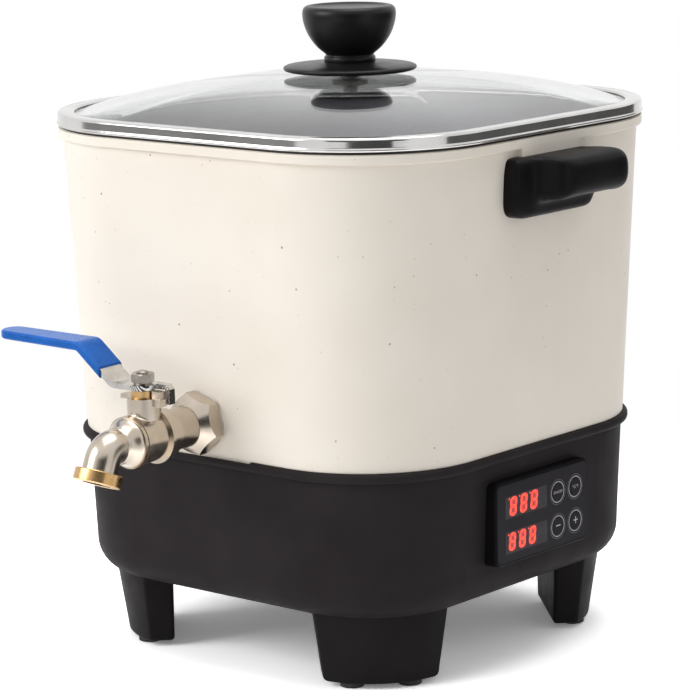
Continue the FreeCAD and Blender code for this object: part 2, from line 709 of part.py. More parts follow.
def make_heat_shield():
    tray = rounded_prism(SHIELD_HALF, SHIELD_CORNER, POST_TOP, POST_TOP + SHIELD_LIP)
    tray = tray.cut(rounded_prism(SHIELD_HALF - SHIELD, SHIELD_CORNER - SHIELD, POST_TOP + SHIELD,
                                  POST_TOP + SHIELD_LIP + 1))
    for at in four_corners(POST_OFFSET):
        tray = tray.cut(cylinder(POT_SCREW + FIT, POST_TOP - 1, POST_TOP + 2, at))
    for at in heater_ends():
        tray = tray.cut(cylinder(HEATER_RADIUS + 1.5, POST_TOP - 1, POST_TOP + 2, at))
    tray = tray.cut(cylinder(2.5, POST_TOP - 1, POST_TOP + 2))
    return tray


def make_temperature_sensor():
    """Spring cup that holds the probe against the middle of the pot."""
    base = POST_TOP + SHIELD
    return fused([cylinder(9.0, base, base + 1.5), cylinder(6.0, base + 1.0, POT_BOTTOM),
                  cylinder(1.6, base - 8.0, base + 1.0)])


def make_thermal_cutout():
    x = -30.0
    body = fused([cylinder(8.0, POT_BOTTOM - 7.0, POT_BOTTOM - 1.5, (x, 0)),
                  cylinder(9.5, POT_BOTTOM - 1.5, POT_BOTTOM, (x, 0)),
                  block(x - 3.2, x + 3.2, 6.0, 14.0, POT_BOTTOM - 6.5, POT_BOTTOM - 5.7),
                  block(x - 3.2, x + 3.2, -14.0, -6.0, POT_BOTTOM - 6.5, POT_BOTTOM - 5.7)])
    return body


def make_insulating_washers():
    return Part.makeCompound([tube(POST_RADIUS, POT_SCREW + FIT, POST_TOP + SHIELD, WASHER_TOP, at)
                              for at in four_corners(POST_OFFSET)])


def make_pot_screws():
    level = HOUSING_BOTTOM + POST_SEAT
    screw = cap_screw(POT_SCREW, FLOOR_TOP - POT_SCREW_DEPTH - level, POT_SCREW * 1.8, 2.5)
    return Part.makeCompound([placed(screw, (at[0], at[1], level)) for at in four_corners(POST_OFFSET)])


# ---------------------------------------------------------------- base
def housing_outside():
    """The base as if solid: leaning wall with a rounded foot, and the collar round its mouth."""
    c = HOUSING_CENTRE
    return square_body(c, [(0, HOUSING_BOTTOM), (housing_half(HOUSING_BOTTOM) - c, HOUSING_BOTTOM, HOUSING_ROUND),
                           (housing_half(COLLAR_BOTTOM) - c, COLLAR_BOTTOM),
                           (COLLAR_HALF - c, COLLAR_BOTTOM, 2.2), (COLLAR_HALF - c, COLLAR_TOP, 2.0),
                           (0, COLLAR_TOP)])


def housing_inside():
    """The space in the base, with the wider seat for the plug of the pot."""
    c = HOUSING_CENTRE
    low = HOUSING_BOTTOM + HOUSING_FLOOR
    high = COLLAR_TOP + 1
    step = POT_BOTTOM - 1
    seat = PLUG_HALF + CLEAR
    space = square_body(c, [(0, low), (housing_half(low) - HOUSING_WALL - c, low, HOUSING_ROUND - HOUSING_WALL),
                            (housing_half(step) - HOUSING_WALL - c, step), (0, step)])
    mouth = rounded_prism(seat, seat - CORNER_CENTRE, step - 1, high)
    return space, mouth


def cover_screw_spots():
    reach = COVER_HALF - COVER_LEDGE - 2.0
    return [(sx * reach, sy * 26.0) for sx in (1, -1) for sy in (1, -1)]


def make_base_housing():
    body = housing_outside()
    for space in housing_inside():
        body = body.cut(space)
    open_half = COVER_HALF - COVER_LEDGE
    body = body.cut(rounded_prism(open_half, COVER_CORNER - COVER_LEDGE, HOUSING_BOTTOM - 1, HOUSING_BOTTOM + 9))
    additions = [cylinder(POST_RADIUS, HOUSING_BOTTOM, POST_TOP, at) for at in four_corners(POST_OFFSET)]
    additions += [cylinder(3.6, COVER_TOP, HOUSING_BOTTOM + 14, at) for at in cover_screw_spots()]
    body = fused([body] + additions)
    body = body.cut(rounded_prism(COVER_HALF + CLEAR, COVER_CORNER + CLEAR, HOUSING_BOTTOM - 1, COVER_TOP))
    for at in four_corners(POST_OFFSET):
        body = body.cut(cylinder(POT_SCREW + FIT, HOUSING_BOTTOM - 1, POST_TOP + 1, at))
        body = body.cut(cylinder(POT_SCREW * 1.8 + 0.6, HOUSING_BOTTOM - 1, HOUSING_BOTTOM + POST_SEAT, at))
    for at in cover_screw_spots():
        body = body.cut(cylinder(SMALL_SCREW + FIT, COVER_TOP - 1, HOUSING_BOTTOM + 11, at))
    for at in leg_screw_spots():
        body = body.cut(cylinder(LEG_SCREW + FIT, HOUSING_BOTTOM - 1, HOUSING_BOTTOM + 20, at))
    body = body.cut(panel_block(PANEL_FACE - PANEL_PROUD - 3 * HOUSING_WALL, PANEL_FACE, WINDOW_INSET, 1.0))
    gland_wall = housing_half(GLAND_Z)
    body = body.cut(cylinder(GLAND_NECK + FIT, gland_wall - 3 * HOUSING_WALL, gland_wall + 1, (0, GLAND_Z), "y"))
    relief = block(-RELIEF_HALF, RELIEF_HALF, -COLLAR_HALF - 1, -PLUG_HALF, COLLAR_TOP - COLLAR_RELIEF,
                   COLLAR_TOP + 1)
    return body.cut(relief)


def make_bottom_cover():
    """Vented cover, let into the underside, with pillars for the control board."""
    plate = rounded_prism(COVER_HALF, COVER_CORNER, COVER_BOTTOM, COVER_TOP)
    pillars = [cylinder(3.2, COVER_TOP - 0.5, BOARD_LEVEL, at) for at in control_board_spots()]
    plate = fused([plate] + pillars)
    for i in range(VENT_COUNT):
        y = (i - (VENT_COUNT - 1) / 2) * VENT_PITCH
        slot = block(VENT_START, VENT_START + VENT_LENGTH, y - VENT_WIDTH / 2, y + VENT_WIDTH / 2,
                     COVER_BOTTOM - 1, COVER_TOP + 1)
        plate = plate.cut(slot)
    for at in control_board_spots():
        plate = plate.cut(cylinder(SMALL_SCREW + FIT, COVER_TOP, BOARD_LEVEL + 1, at))
    for at in cover_screw_spots():
        plate = plate.cut(cylinder(SMALL_SCREW + FIT, COVER_BOTTOM - 1, COVER_TOP + 1, at))
    return plate


def make_cover_screws():
    screw = cap_screw(SMALL_SCREW, 10.0, 2.75, 1.8, 1.2)
    return Part.makeCompound([placed(screw, (at[0], at[1], COVER_BOTTOM)) for at in cover_screw_spots()])


def leg_turns():
    return {"front_right_leg": -45.0, "back_right_leg": 45.0, "back_left_leg": 135.0, "front_left_leg": 225.0}


def leg_screw_spots():
    spots = []
    for turn in leg_turns().values():
        spin = FreeCAD.Rotation(Z, turn)
        for offset in (PAD_OFFSET, -PAD_OFFSET):
            p = spin.multVec(V(PAD_RADIAL, offset, 0))
            spots.append((p.x, p.y))
    return spots


def make_leg(turn):
    """Broad curved leg under one corner; its top follows the rounded foot of the housing."""
    tall = LEG_TOP - LEG_BOTTOM
    dome = Part.makeCone(LEG_OUTER_FOOT, LEG_OUTER_TOP, tall, V(LEG_CENTRE, 0, LEG_BOTTOM))
    front = [(LEG_HALF_FOOT, LEG_BOTTOM, 3.0), (LEG_HALF_TOP, LEG_TOP), (-LEG_HALF_TOP, LEG_TOP),
             (-LEG_HALF_FOOT, LEG_BOTTOM, 3.0)]
    wedge = outline_face(front).extrude(V(0, LEG_CENTRE + LEG_OUTER_TOP, 0))
    wedge.rotate(ORIGIN, Z, -90)
    behind = block(0, LEG_INNER, -2 * LEG_HALF_TOP, 2 * LEG_HALF_TOP, 0, LEG_TOP + 1)
    leg = dome.common(wedge).cut(behind)
    middle = (LEG_BOTTOM + LEG_TOP) / 2
    sides = edges_at(leg, lambda m, e: abs(m.z - middle) < 2.0 and abs(m.y) > LEG_HALF_FOOT / 2)
    leg = leg.makeFillet(LEG_ROUND, sides)
    for offset in (PAD_OFFSET, -PAD_OFFSET):
        at = (PAD_RADIAL, offset)
        leg = leg.cut(cylinder(LEG_SCREW + FIT, 0, LEG_TOP + 1, at))
        leg = leg.cut(cylinder(LEG_SCREW_HEAD, 0, LEG_SCREW_SEAT, at))
        leg = leg.cut(cylinder(PAD_RADIUS, 0, LEG_BOTTOM + PAD_SEAT, at))
    leg.rotate(ORIGIN, Z, turn)
    return leg.cut(housing_outside())


def make_leg_screws():
    screw = cap_screw(LEG_SCREW, LEG_SCREW_GRIP + HOUSING_FLOOR + 2.0, LEG_SCREW * 1.8, 2.5)
    return Part.makeCompound([placed(screw, (at[0], at[1], LEG_SCREW_SEAT)) for at in leg_screw_spots()])


def make_foot_pads():
    pads = []
    for at in leg_screw_spots():
        pad = cylinder(PAD_RADIUS - FIT, 0, LEG_BOTTOM + PAD_SEAT, at)
        pads.append(pad.makeChamfer(0.5, edges_at(pad, lambda m, e: m.z < 0.01)))
    return Part.makeCompound(pads)


# ---------------------------------------------------------------- control panel
def panel_block(x0, x1, inset, corner):
    """Rounded block of the panel, inset from its outline."""
    y0, y1 = PANEL_Y - PANEL_WIDTH / 2 + inset, PANEL_Y + PANEL_WIDTH / 2 - inset
    z0, z1 = PANEL_Z - PANEL_HEIGHT / 2 + inset, PANEL_Z + PANEL_HEIGHT / 2 - inset
    shape = block(x0, x1, y0, y1, z0, z1)
    return shape.makeFillet(corner, edges_at(shape, lambda m, e: abs(m.x - (x0 + x1) / 2) < 0.01))


def key_spots():
    names = ("key_on_off", "key_units", "key_minus", "key_plus")
    places = [(PANEL_Y + y, PANEL_Z + z) for z in KEY_RISE for y in KEY_OFFSET]
    return dict(zip(names, places))


def board_screw_spots():
    dy, dz = PANEL_WIDTH / 2 - BOARD_POST_INSET, PANEL_HEIGHT / 2 - BOARD_POST_INSET
    return [(PANEL_Y + sy * dy, PANEL_Z + sz * dz) for sy in (1, -1) for sz in (1, -1)]


def display_block(rise, x0, x1, gap):
    dy, dz = DISPLAY_WIDTH / 2 + gap, DISPLAY_HEIGHT / 2 + gap
    z = PANEL_Z + rise
    return block(x0, x1, DISPLAY_Y - dy, DISPLAY_Y + dy, z - dz, z + dz)


def panel_holes():
    """Openings in the front of the panel for the displays and the keys."""
    holes = [display_block(rise, BOARD_X, PANEL_FACE + 1, DISPLAY_GAP) for rise in DISPLAY_RISE]
    return holes + [cylinder(KEY_RADIUS, BOARD_X, PANEL_FACE + 1, at, "x") for at in key_spots().values()]


def upright_block(x0, x1, y, half, z0, z1):
    """Block about y, its two levels given in either order."""
    return block(x0, x1, y - half, y + half, min(z0, z1), max(z0, z1))


def bezel_hooks(gap):
    """Arms that pass through the window of the housing, with barbs that snap behind its wall."""
    hooks = []
    for side in (1, -1):
        edge = PANEL_Z + side * (PANEL_HEIGHT / 2 - WINDOW_INSET - FIT)
        inner = housing_half(edge) - HOUSING_WALL - FIT
        for offset in (-HOOK_OFFSET, HOOK_OFFSET):
            y = PANEL_Y + offset
            half = HOOK_HALF + gap
            hooks.append(upright_block(inner - HOOK_BARB - gap, PANEL_FACE - PANEL_SKIN + 0.3, y, half,
                                       edge - side * (HOOK_THICK + gap), edge + side * gap))
            hooks.append(upright_block(inner - HOOK_BARB, inner, y, half, edge, edge + side * HOOK_CATCH))
    return hooks


def hook_roots():
    """Blocks that join the hooks to the side walls of the bezel, in front of the housing."""
    roots = []
    for side in (1, -1):
        outer = PANEL_Z + side * (PANEL_HEIGHT / 2 - BEZEL_WALL + 0.2)
        inner = PANEL_Z + side * (PANEL_HEIGHT / 2 - WINDOW_INSET - FIT - HOOK_THICK)
        for offset in (-HOOK_OFFSET, HOOK_OFFSET):
            roots.append(upright_block(housing_half(outer), PANEL_FACE - PANEL_SKIN + 0.3, PANEL_Y + offset,
                                       HOOK_HALF, inner, outer))
    return roots


def make_panel_bezel():
    """Shallow box on the housing wall, with hooks through the wall and posts for the key board."""
    back = housing_half(PANEL_Z) - 2 * HOUSING_WALL
    bezel = panel_block(back, PANEL_FACE, 0.0, PANEL_ROUND)
    bezel = bezel.makeFillet(PANEL_EDGE, edges_at(bezel, lambda m, e: m.x > PANEL_FACE - 0.01))
    bezel = bezel.cut(panel_block(back - 1, PANEL_FACE - PANEL_SKIN, BEZEL_WALL, PANEL_ROUND - 2.0))
    bezel = bezel.cut(panel_block(PANEL_FACE - SHEET, PANEL_FACE + 1, SHEET_MARGIN, PANEL_ROUND - 1.0))
    bezel = fused([bezel] + hook_roots()).cut(housing_outside())
    posts = [cylinder(BOARD_POST, BOARD_X, PANEL_FACE - PANEL_SKIN + 0.5, at, "x") for at in board_screw_spots()]
    bezel = fused([bezel] + posts + bezel_hooks(0.0))
    for at in board_screw_spots():
        bezel = bezel.cut(cylinder(BOARD_SCREW + FIT, BOARD_X - 1, BOARD_X + BOARD_SCREW_REACH + 1, at, "x"))
    for hole in panel_holes():
        bezel = bezel.cut(hole)
    return bezel


def make_panel_sheet():
    sheet = panel_block(PANEL_FACE - SHEET, PANEL_FACE, SHEET_MARGIN + FIT, PANEL_ROUND - 1.0 - FIT)
    for hole in panel_holes():
        sheet = sheet.cut(hole)
    return sheet


def make_display(rise):
    return display_block(rise, BOARD_X, PANEL_FACE - DISPLAY_SINK, 0.0)


def make_key(at):
    """Key cap with a retaining flange behind the panel skin and a pin above its switch."""
    skin_back = PANEL_FACE - PANEL_SKIN
    cap = cylinder(KEY_RADIUS - KEY_GAP, skin_back - 0.5, PANEL_FACE + KEY_PROUD, at, "x")
    cap = cap.makeFillet(0.4, edges_at(cap, lambda m, e: m.x > PANEL_FACE))
    flange = cylinder(KEY_FLANGE, skin_back - FIT - 1.2, skin_back - FIT, at, "x")
    pin = cylinder(1.6, BOARD_X + SWITCH_TALL + KEY_TRAVEL + FIT, skin_back - 1.0, at, "x")
    return fused([cap, flange, pin])


def make_key_board():
    """Board behind the panel, with one push switch under each key."""
    dy, dz = PANEL_WIDTH / 2 - BOARD_EDGE, PANEL_HEIGHT / 2 - BOARD_EDGE
    back = BOARD_X - BOARD
    pieces = [block(back, BOARD_X, PANEL_Y - dy, PANEL_Y + dy, PANEL_Z - dz, PANEL_Z + dz)]
    for y, z in key_spots().values():
        pieces.append(block(BOARD_X - 0.2, BOARD_X + SWITCH_TALL - 1.0, y - SWITCH_BODY, y + SWITCH_BODY,
                            z - SWITCH_BODY, z + SWITCH_BODY))
        pieces.append(cylinder(PLUNGER_RADIUS, BOARD_X, BOARD_X + SWITCH_TALL, (y, z), "x"))
    pieces.append(block(back - 5.0, back + 0.2, PANEL_Y - 9.0, PANEL_Y + 7.0, PANEL_Z - 4.0, PANEL_Z + 4.0))
    board = fused(pieces)
    for at in board_screw_spots():
        board = board.cut(cylinder(BOARD_SCREW + FIT, back - 1, BOARD_X + 1, at, "x"))
    for hook in bezel_hooks(CLEAR):
        board = board.cut(hook)
    return board


def make_board_screws():
    screw = cap_screw(BOARD_SCREW, BOARD + BOARD_SCREW_REACH, 2.2, 1.4, 1.0)
    screws = [placed(screw, (BOARD_X - BOARD, at[0], at[1]), X) for at in board_screw_spots()]
    return Part.makeCompound(screws)


def control_board_spots():
    side = CONTROL_HALF - CONTROL_INSET
    return [(x, y) for x in (CONTROL_X0 + CONTROL_INSET, CONTROL_X1 - CONTROL_INSET) for y in (-side, side)]


def make_control_board():
    """Power board: relay, supply, capacitor and terminal block on one board."""
    top = BOARD_LEVEL + BOARD
    pieces = [block(CONTROL_X0, CONTROL_X1, -CONTROL_HALF, CONTROL_HALF, BOARD_LEVEL, top),
              block(10.0, 29.0, -18.0, -3.0, top - 0.2, top + 15.5),
              block(34.0, 54.0, 2.0, 24.0, top - 0.2, top + 17.0),
              block(-4.0, 4.0, -16.0, 18.0, top - 0.2, top + 10.0),
              cylinder(6.0, top - 0.2, top + 16.0, (22.0, 14.0)),
              cylinder(4.0, top - 0.2, top + 11.0, (42.0, -14.0))]
    board = fused(pieces)
    for at in control_board_spots():
        board = board.cut(cylinder(SMALL_SCREW + FIT, BOARD_LEVEL - 1, top + 1, at))
    return board


def make_control_screws():
    screw = cap_screw(SMALL_SCREW, BOARD + CONTROL_PILLAR - 1.4, 2.75, 1.8, 1.2)
    level = BOARD_LEVEL + BOARD
    return Part.makeCompound([placed(screw, (at[0], at[1], level), V(0, 0, -1)) for at in control_board_spots()])


# ---------------------------------------------------------------- cord gland
def on_gland(radius, start, end):
    """Cylinder on the gland's axis, from and to distances outside the wall."""
    wall = housing_half(GLAND_Z)
    return cylinder(radius, wall + start, wall + end, (0, GLAND_Z), "y")


def make_cord_gland(housing):
    inside = HOUSING_WALL + GLAND_INSIDE
    shape = fused([on_gland(GLAND_NECK, -inside, GLAND_FLANGE_TALL),
                   on_gland(GLAND_FLANGE, -1.0, GLAND_FLANGE_TALL),
                   on_gland(GLAND_NECK + 0.8, GLAND_FLANGE_TALL - 0.5, GLAND_OUTSIDE)])
    return shape.cut(on_gland(GLAND_BORE, -inside - 1, GLAND_OUTSIDE + 1)).cut(housing)


def make_gland_lock_nut(housing):
    nut = hexagon(GLAND_NUT_FLATS, 0.0, GLAND_NUT_TALL)
    nut = placed(nut, (0, housing_half(GLAND_Z) - HOUSING_WALL + 0.5, GLAND_Z), V(0, -1, 0))
    return nut.cut(on_gland(GLAND_NECK + FIT, -HOUSING_WALL - GLAND_INSIDE, 1)).cut(housing)


# ---------------------------------------------------------------- ball valve, on its own axis
# The valve frame has its origin on the pot wall, the flow along -y and the stem along +z.
def along(radius, start, end):
    """Cylinder on the flow axis between two distances from the pot wall."""
    return cylinder(radius, -end, -start, (0, 0), "y")


def bored(outer, inner, start, end):
    return along(outer, start, end).cut(along(inner, start - 1, end + 1))


def upright(radius, low, high):
    """Cylinder on the stem axis."""
    return cylinder(radius, low, high, (0, -STEM_AT))


def in_place(shape):
    """Move a shape from the valve's own frame to its place on the leaning wall."""
    shape.Placement = VALVE_PLACE.multiply(shape.Placement)
    return shape


def make_outer_gasket():
    """Washer between the wall and the nut; it takes up the lean of the wall."""
    return in_place(bored(NUT_FLATS / 2, NIPPLE_RADIUS + FIT, -1.0, GASKET)).cut(pot_outside())


def make_inner_gasket():
    ring = in_place(bored(NUT_FLATS / 2, NIPPLE_RADIUS + FIT, -POT_WALL - GASKET, -POT_WALL + 1.0))
    return ring.common(pot_inside())


def make_inner_nut():
    nut = hexagon(NUT_FLATS, 0.0, INNER_NUT)
    nut.Placement = FreeCAD.Placement(V(0, POT_WALL + GASKET, 0), FreeCAD.Rotation(Z, Y))
    return in_place(nut.cut(along(NIPPLE_RADIUS + FIT, -POT_WALL - GASKET - INNER_NUT - 1, 0)))


def make_bulkhead_nut():
    """Outer hexagon with a conical face that runs down to the nipple."""
    nut = hexagon(NUT_FLATS, 0.0, NUT_TOTAL, NUT_TURN)
    corner = NUT_FLATS / math.sqrt(3)
    slope = (corner - NIPPLE_RADIUS) / (NUT_TOTAL - NUT_PRISM + 1.0)
    cone = turned([(0, 0), (corner - 0.4, 0), (corner + 0.2, 0.6), (corner + 0.2, NUT_PRISM - 1.2),
                   (NIPPLE_RADIUS + 0.2, NUT_PRISM - 1.2 + (corner - NIPPLE_RADIUS) / slope), (0, NUT_TOTAL)])
    nut = nut.common(cone)
    nut.Placement = FreeCAD.Placement(V(0, -GASKET, 0), FreeCAD.Rotation(Z, V(0, -1, 0)))
    return in_place(nut.cut(along(NIPPLE_RADIUS + FIT, -5, 30)))


def make_valve_nipple():
    return in_place(bored(NIPPLE_RADIUS, NIPPLE_BORE, -NIPPLE_INSIDE, NIPPLE_END))


def shut_stop():
    """Stepped block on the right of the tower that the lever's tail meets when the valve is shut."""
    face = -STEM_AT + TAIL_NEAR - CLEAR
    low = block(TOWER_RADIUS - 2.0, SHUT_STOP_REACH, face - SHUT_STOP_DEEP, face,
                TOWER_TOP - SHUT_STOP_TALL, TOWER_TOP)
    high = block(GLAND_HEAD + STOP_STEP, SHUT_STOP_REACH - STOP_STEP, face - SHUT_STOP_DEEP + STOP_STEP, face,
                 TOWER_TOP - 0.5, LEVER_BOTTOM - LEVER_GAP)
    return low.fuse(high)


def open_stop():
    """Ear on the far side of the tower that the tail meets when the valve is open."""
    inner = TOWER_RADIUS - 0.6
    low = TOWER_TOP - OPEN_STOP_TALL
    section = outline_face([(inner, low), (OPEN_STOP_RADIUS, low), (OPEN_STOP_RADIUS, TOWER_TOP), (inner, TOWER_TOP)])
    solid = section.revolve(ORIGIN, Z, OPEN_STOP[1] - OPEN_STOP[0])
    solid.rotate(ORIGIN, Z, OPEN_STOP[0])
    solid.translate(V(0, -STEM_AT, 0))
    return solid


def body_casting():
    """Outside of the body: barrel with its rings, and the tower blended into it."""
    barrel = fused([along(BODY_RADIUS, BODY_START, BODY_END), upright(TOWER_RADIUS, 0, TOWER_TOP)])
    saddle = edges_at(barrel, lambda m, e: e.Curve.TypeId == "Part::GeomBSplineCurve" and m.z > 0)
    barrel = barrel.makeFillet(TOWER_BLEND, saddle)
    groove = FRONT_RING_START + 2 * FRONT_GROOVE
    rings = [along(SOCKET_RADIUS, SOCKET_START, BODY_START + 1),
             along(BACK_RING, BODY_START, BODY_START + BACK_RING_WIDTH),
             along(FRONT_RING, FRONT_RING_START, groove),
             along(FRONT_RING, groove + FRONT_GROOVE, BODY_END)]
    return fused([barrel] + rings + [shut_stop(), open_stop()])


def make_valve_body():
    """Cast body: inlet socket, ball chamber, stem tower and the two stops of the lever."""
    body = body_casting()
    body = body.cut(along(NIPPLE_RADIUS + FIT, SOCKET_START - 1, NIPPLE_END))
    body = body.cut(along(BALL_BORE + 0.5, NIPPLE_END - 1, SEAT_START + 1))
    body = body.cut(along(SEAT_OUTER + FIT, SEAT_START, BODY_END + 1))
    body = body.cut(upright(COLLAR_RADIUS + 0.1, 4.0, SHOULDER))
    body = body.cut(upright(STEM_RADIUS + STEM_FIT, 4.0, PACKING_BOTTOM + 1))
    return in_place(body.cut(upright(GLAND_RADIUS + FIT, PACKING_BOTTOM, TOWER_TOP + 5)))


def make_ball_seats():
    """Two soft rings, one each side of the ball, hollowed to its curve."""
    depth = SEAT_TALL
    rings = [bored(SEAT_OUTER, BALL_BORE + 0.2, SEAT_START, SEAT_START + depth),
             bored(SEAT_OUTER, BALL_BORE + 0.2, SEAT_END - depth, SEAT_END)]
    ball = Part.makeSphere(BALL_RADIUS + BALL_FIT, V(0, -STEM_AT, 0))
    return in_place(Part.makeCompound([ring.cut(ball) for ring in rings]))


def make_ball():
    """Ball with its bore across the flow, as it stands when the valve is shut."""
    ball = Part.makeSphere(BALL_RADIUS, V(0, -STEM_AT, 0))
    ball = ball.cut(cylinder(BALL_BORE, -12, 12, (-STEM_AT, 0), "x"))
    slot = block(-TANG_HALF - FIT, TANG_HALF + FIT, -STEM_AT - 12, -STEM_AT + 12, SLOT_FLOOR, 12)
    return in_place(ball.cut(slot))


def make_stem():
    """Stem: tang in the ball, collar under the shoulder, and flats for the lever."""
    tang = block(-TANG_HALF, TANG_HALF, -STEM_AT - TANG_LENGTH, -STEM_AT + TANG_LENGTH, SLOT_FLOOR + 0.1,
                 COLLAR_LOW + 0.5)
    collar = upright(COLLAR_RADIUS, COLLAR_LOW, SHOULDER - FIT)
    tang = tang.common(upright(COLLAR_RADIUS, 0, SHOULDER))
    shaft = upright(STEM_RADIUS, COLLAR_LOW, LEVER_BOTTOM)
    end = LEVER_TOP + STEM_NUT_TALL + STEM_END
    top = turned([(0, LEVER_BOTTOM - 0.5), (STEM_RADIUS, LEVER_BOTTOM - 0.5), (STEM_RADIUS, end, 1.4), (0, end)])
    top = top.common(block(-STEM_RADIUS, STEM_RADIUS, -FLAT_HALF, FLAT_HALF, 0, end))
    top.translate(V(0, -STEM_AT, 0))
    return in_place(fused([tang, collar, shaft, top]))


def make_stem_packing():
    ring = upright(GLAND_RADIUS, PACKING_BOTTOM, PACKING_TOP)
    return in_place(ring.cut(upright(STEM_RADIUS + STEM_FIT, 0, LEVER_TOP)))


def make_gland_nut():
    nut = fused([upright(GLAND_RADIUS, PACKING_TOP, TOWER_TOP + 0.5),
                 upright(GLAND_HEAD, TOWER_TOP, TOWER_TOP + GLAND_TALL)])
    return in_place(nut.cut(upright(STEM_RADIUS + STEM_FIT, 0, LEVER_TOP)))


def lever_side(offset, start):
    """Side outline of the lever, grown by an offset, from a given x to its tip."""
    top = LEVER_TOP + offset
    bottom = LEVER_BOTTOM - offset
    bend = math.tan(math.atan2(LEVER_RISE, LEVER_RISE_END - LEVER_FLAT) / 2)
    above, below = offset * bend, (LEVER_THICK + offset) * bend
    inside = LEVER_BEND - LEVER_THICK / 2 - offset
    outside = LEVER_BEND + LEVER_THICK / 2 + offset
    tip = -LEVER_TIP - offset
    return [(start, top), (-LEVER_FLAT + above, top, inside), (-LEVER_RISE_END + above, top + LEVER_RISE, outside),
            (tip, top + LEVER_RISE), (tip, bottom + LEVER_RISE),
            (-LEVER_RISE_END - below, bottom + LEVER_RISE, inside), (-LEVER_FLAT - below, bottom, outside),
            (start, bottom)]


def lever_plan(offset, start):
    """The lever seen from above as a tall block: parallel sides, then a taper to its round tip."""
    half = LEVER_HALF + offset
    tip_half = LEVER_TIP_HALF + offset
    tip = -LEVER_TIP - offset + tip_half
    tall = LEVER_TOP + LEVER_RISE + offset + 1
    corners = [V(start, -half, 0), V(start, half, 0), V(-LEVER_RISE_END, half, 0), V(tip, tip_half, 0),
               V(tip, -tip_half, 0), V(-LEVER_RISE_END, -half, 0)]
    bar = Part.Face(Part.makePolygon(corners + corners[:1])).extrude(V(0, 0, tall))
    return fused([bar, cylinder(tip_half, 0, tall, (tip, 0))])


def lever_bar(offset, start):
    """Bent bar of the lever on its own line, grown by an offset."""
    side = outline_face(lever_side(offset, start)).extrude(V(0, 4 * LEVER_HALF, 0))
    side.translate(V(0, -2 * LEVER_HALF, 0))
    return side.common(lever_plan(offset, start))


def lever_tail():
    """Narrow strip from the head that bends down beside the tower."""
    outer = TAIL_INNER + LEVER_THICK
    low = LEVER_BOTTOM - TAIL_DROP
    strip = outline_face([(0, LEVER_BOTTOM), (TAIL_INNER, LEVER_BOTTOM, TAIL_ROUND - LEVER_THICK), (TAIL_INNER, low),
                          (outer, low), (outer, LEVER_TOP, TAIL_ROUND), (0, LEVER_TOP)])
    strip = strip.extrude(V(0, TAIL_FAR - TAIL_NEAR, 0))
    strip.translate(V(0, TAIL_NEAR, 0))
    return strip


def make_lever():
    """Pressed steel lever: round head on the stem, rising arm, and a tail that meets the stops."""
    head = cylinder(LEVER_HALF, LEVER_BOTTOM, LEVER_TOP)
    lever = fused([lever_bar(0.0, 0.0), head, lever_tail()])
    hole = cylinder(STEM_RADIUS + FIT, 0, LEVER_TOP + 1)
    flats = block(-LEVER_HALF, LEVER_HALF, -FLAT_HALF - FIT, FLAT_HALF + FIT, 0, LEVER_TOP + 1)
    lever = lever.cut(hole.common(flats))
    lever.translate(V(0, -STEM_AT, 0))
    return in_place(lever)


def rounded_sides(bar, offset):
    """Round the long edges of a lever bar, round its tip as well."""
    tip = LEVER_TIP_HALF - LEVER_TIP

    def on_side(m, edge):
        upright_line = abs(edge.tangentAt(edge.FirstParameter).z) > 0.99
        wide = abs(m.y) > LEVER_TIP_HALF + offset - 0.6
        round_tip = m.x < tip and math.hypot(m.x - tip, m.y) > LEVER_TIP_HALF + offset - 0.1
        return not upright_line and (wide or round_tip)

    return bar.makeFillet(SLEEVE_ROUND, edges_at(bar, on_side))


def make_lever_sleeve():
    """Dipped vinyl sleeve on the outer part of the lever."""
    sleeve = rounded_sides(lever_bar(SLEEVE, 0.0), SLEEVE)
    tall = LEVER_TOP + LEVER_RISE + SLEEVE + 1
    outer_part = block(-LEVER_TIP - SLEEVE - 1, -SLEEVE_START, -2 * LEVER_HALF, 2 * LEVER_HALF, 0, tall)
    sleeve = sleeve.common(outer_part).cut(lever_bar(0.0, 0.0))
    sleeve.translate(V(0, -STEM_AT, 0))
    return in_place(sleeve)


def make_lever_nut():
    """Hexagon nut on a round foot, with both ends of the hexagon chamfered."""
    low = LEVER_TOP + STEM_NUT_FOOT
    top = LEVER_TOP + STEM_NUT_TALL
    corner = STEM_NUT_FLATS / math.sqrt(3)
    nut = hexagon(STEM_NUT_FLATS, low, top).common(
        turned([(0, low), (corner - 0.6, low), (corner + 0.1, low + 0.5), (corner + 0.1, top - 0.5),
                (corner - 0.6, top), (0, top)]))
    nut = fused([nut, cylinder(STEM_NUT_FLATS * 0.44, LEVER_TOP, low + 0.3)])
    nut.translate(V(0, -STEM_AT, 0))
    return in_place(nut.cut(upright(STEM_RADIUS + FIT, 0, top + 1)))


def bend_solid(radius):
    """Curved piece of the spout between its straight pipe and its outlet."""
    circle = Part.Wire(Part.Circle(V(0, -BEND_START, 0), Y, radius).toShape())
    return Part.Face(circle).revolve(V(0, -BEND_START, -BEND_RADIUS), X, BEND_TURN)


def at_outlet(shape):
    """Move a shape on the z axis so that it runs out of the end of the bend."""
    a = math.radians(BEND_TURN)
    end = V(0, -BEND_START - BEND_RADIUS * math.sin(a), -BEND_RADIUS + BEND_RADIUS * math.cos(a))
    shape.Placement = FreeCAD.Placement(end, FreeCAD.Rotation(Z, V(0, -math.cos(a), -math.sin(a))))
    return shape


